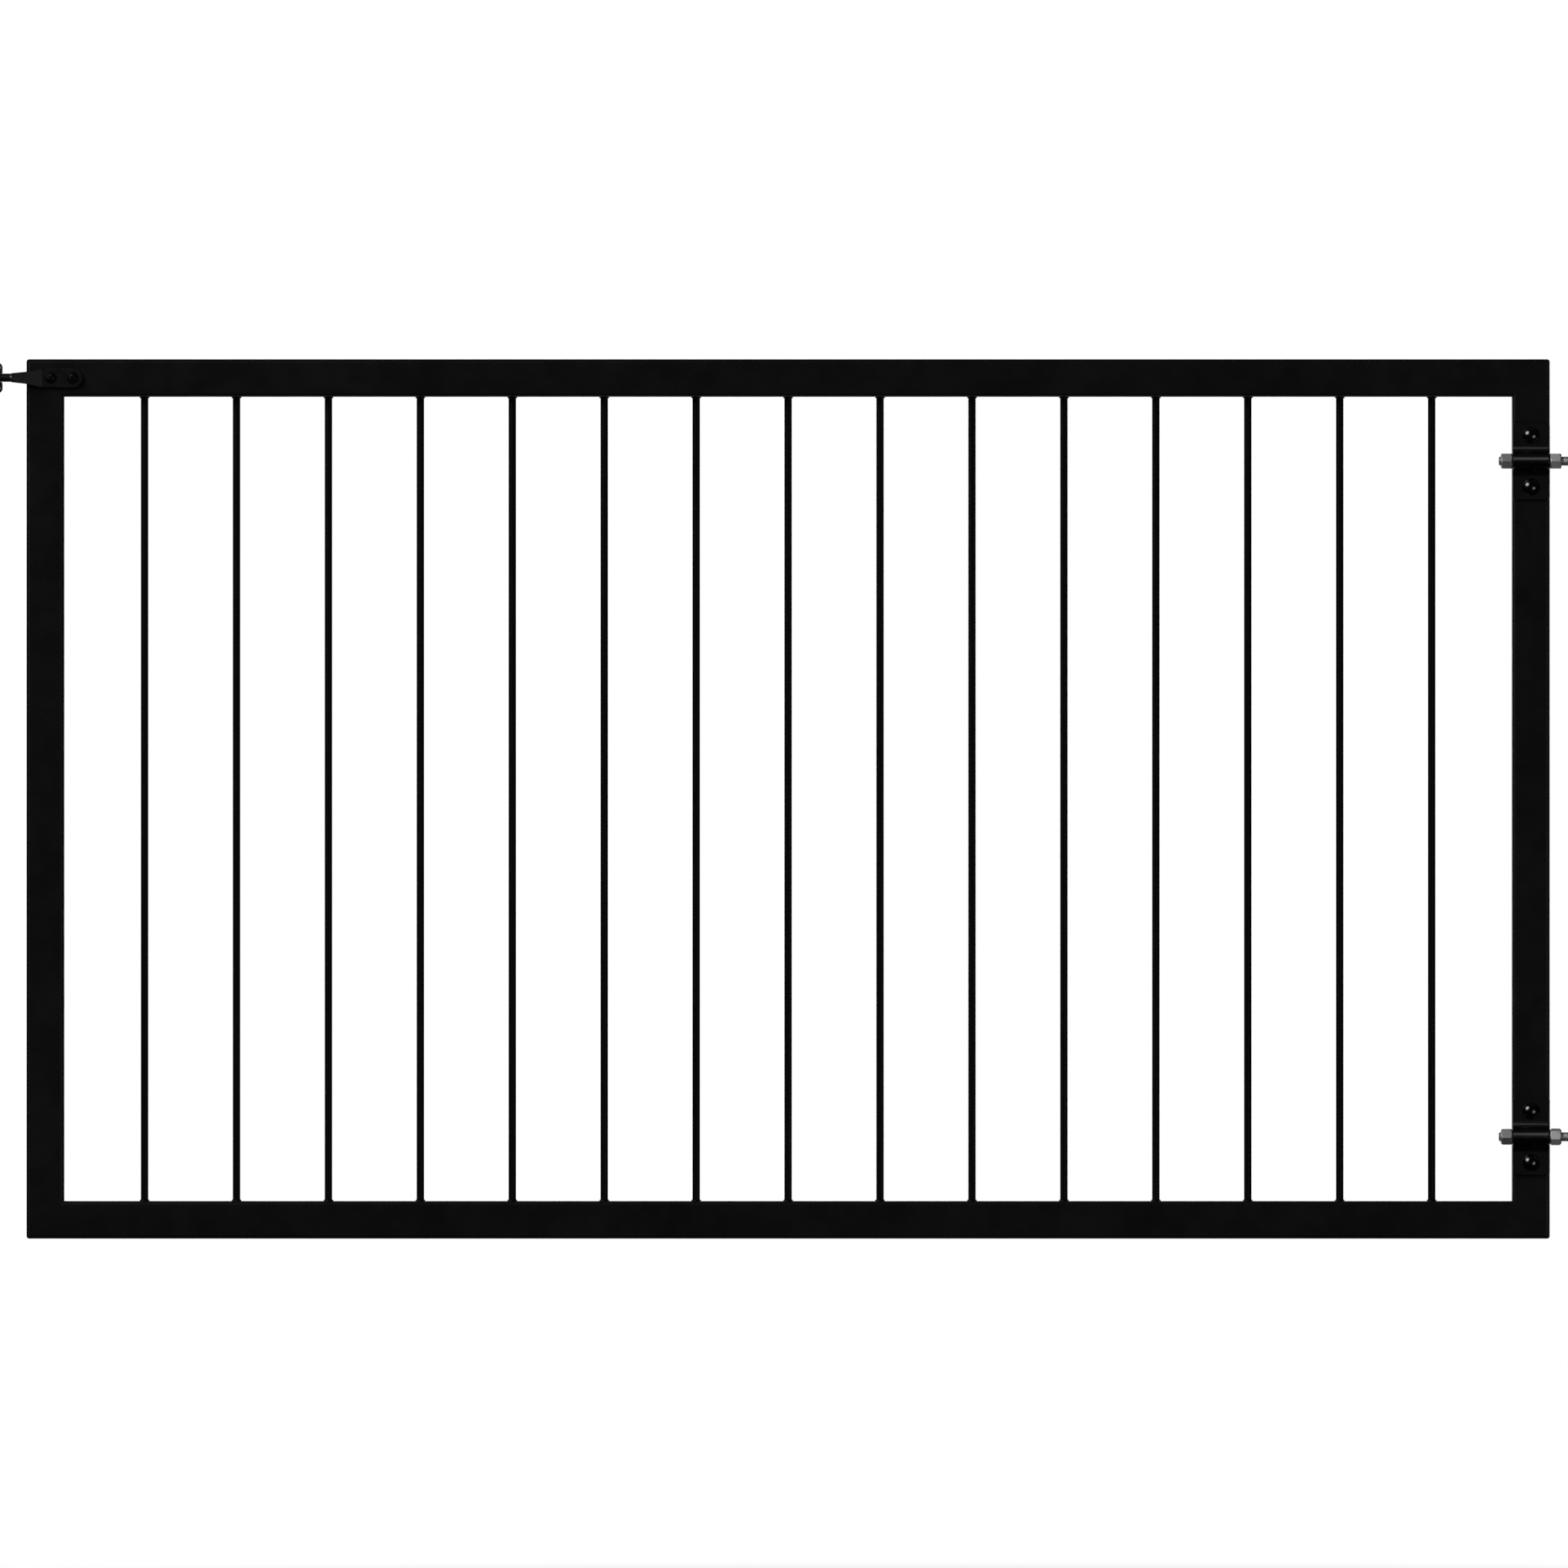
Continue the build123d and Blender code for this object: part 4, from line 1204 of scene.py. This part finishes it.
catchMiddleX = (catchLow.x + catchHigh.x) / 2
catchCasting = bmesh.new()
plateFace = catchHigh.y - catchLook["sheet"] * mm
roundedPlate(
    catchCasting, catchOutline((catchHigh.z - strikeZ) / mm, (strikeZ - catchLow.z) / mm),
    fourHoles(catchLook), catchLook["sheet"], catchLook["edge"], catchLook["holeEdge"],
    lambda u, v, depth: Vector((catchMiddleX + u * mm, plateFace + depth * mm, strikeZ + v * mm)),
)
cheekLoop, hub = cheekOutline()
for innerX in (catchLook["cheekInside"], -catchLook["cheekInside"] - catchLook["cheekSheet"]):
    cheekX = catchMiddleX + innerX * mm
    roundedPlate(
        catchCasting, cheekLoop, [holeLoop(hub, catchLook["bore"])], catchLook["cheekSheet"],
        catchLook["cheekEdge"], catchLook["boreEdge"],
        lambda u, v, depth: Vector((cheekX + depth * mm, catchHigh.y + u * mm, strikeZ + v * mm)),
    )
sink = catchLook["sink"]
outside = catchLook["cheekInside"] + catchLook["cheekSheet"] - sink
reach = catchLook["rootRound"] + sink
fillet = [(outside, sink), (outside + reach, sink), (outside + reach, 0)]
fillet += arcOf((outside + reach, -reach), reach, *catchLook["rootArc"], catchLook["rootSteps"])
fillet.append((outside, -reach))
filletEnds = (
    catchLook["cornerRound"] - catchLook["backFoot"], hub.y + catchLook["boss"] - catchLook["cornerRound"],
)
for side in (-1, 1):
    filletRings = []
    for z in filletEnds:
        spots = [(catchMiddleX + side * x * mm, plateFace + y * mm, strikeZ + z * mm) for x, y in fillet]
        filletRings.append([Vector(spot) for spot in spots])
    skin(catchCasting, filletRings)
addPiece("latchCatch", catchCasting, castCoat, "post_hardware", ["latch_catch"])

rivetLook = {"head": 10.0, "headHeight": 2.2, "shank": 6.0, "rim": 0.4, "domeSteps": 10, "segments": 48}
rivet = bmesh.new()
rivetDome = domeProfile(rivetLook, rivetLook["head"] / 2 * mm)
rivetLength = rivetHigh.x - rivetLow.x
rivetShank = rivetLook["shank"] / 2 * mm
rivetProfile = rivetDome + [(rivetDome[-1][0], rivetShank), (rivetLength - rivetDome[-1][0], rivetShank)]
rivetProfile += [(rivetLength - along, r) for along, r in reversed(rivetDome)]
lathe(rivet, Vector((rivetLow.x, pivot.y, pivot.z)), alongX, rivetProfile, rivetLook["segments"])
addPiece("latchRivet", rivet, rivetBlack, "post_hardware", ["latch_pivot"], sharpFrom=38)


# drop arm, drawn as it lies over the strike's bar and shown thrown back on its stop
armLow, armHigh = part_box("latch_arm")
armLook = {
    "swing": 116.0, "length": 42.0, "stopGap": 0.3, "clawGap": 0.5, "barGap": 0.8, "tipDrop": 6.2, "toe": 3.2,
    "toeRound": 1.2, "lip": 5.0, "lipRound": 2.0, "bore": 6.16, "boreEdge": 0.3, "edge": 0.9,
    "hubSteps": 30, "clawSteps": 12,
}


def armOutline():
    tilt = math.radians(armLook["swing"] - 90)
    boss = (plateFace - pivot.y) / mm - armLook["stopGap"]
    barU = (pivot.y - strikeBarY) / mm
    barV = (strikeZ - pivot.z) / mm
    barRadius = strikeLook["bar"] / 2
    claw = math.hypot(barU, barV) + barRadius + armLook["clawGap"]
    under = barV + barRadius + armLook["barGap"]
    along = Vector((math.cos(tilt), -math.sin(tilt)))
    outOfBack = Vector((math.sin(tilt), math.cos(tilt)))
    backStart = outOfBack * boss
    backEnd = backStart + along * armLook["length"]
    clawFrom = math.degrees(math.asin((barV - armLook["tipDrop"]) / claw))
    clawTo = math.degrees(math.asin(under / claw))
    underStart = math.degrees(math.asin(under / boss))
    hubArc = arcPoints((0, 0), boss, 90 - math.degrees(tilt), 360 + underStart, armLook["hubSteps"])
    clawArc = arcPoints((0, 0), claw, clawTo, clawFrom, armLook["clawSteps"])
    toe = clawArc[-1]
    toeEnd = toe + Vector((armLook["toe"], -armLook["toe"]))
    toeRound = armLook["toeRound"]
    lipRound = armLook["lipRound"]
    tail = roundPolygon(
        [clawArc[-2], toe, toeEnd, backEnd - outOfBack * armLook["lip"], backEnd, backStart],
        [0, toeRound, toeRound, lipRound, lipRound, 0],
    )
    return hubArc + clawArc[:-2] + tail[1:-1], tilt


armShape = bmesh.new()
armLoop, armTilt = armOutline()
armAlong = Vector((0, math.sin(armTilt), math.cos(armTilt)))
armUp = Vector((0, math.cos(armTilt), -math.sin(armTilt)))
roundedPlate(
    armShape, armLoop, [holeLoop((0, 0), armLook["bore"])], (armHigh.x - armLow.x) / mm,
    armLook["edge"], armLook["boreEdge"],
    lambda u, v, depth: Vector((armLow.x + depth * mm, pivot.y, pivot.z)) + (armAlong * u + armUp * v) * mm,
)
addPiece("dropArm", armShape, castCoat, "latch_arm", ["latch_arm"])
print("latch made")
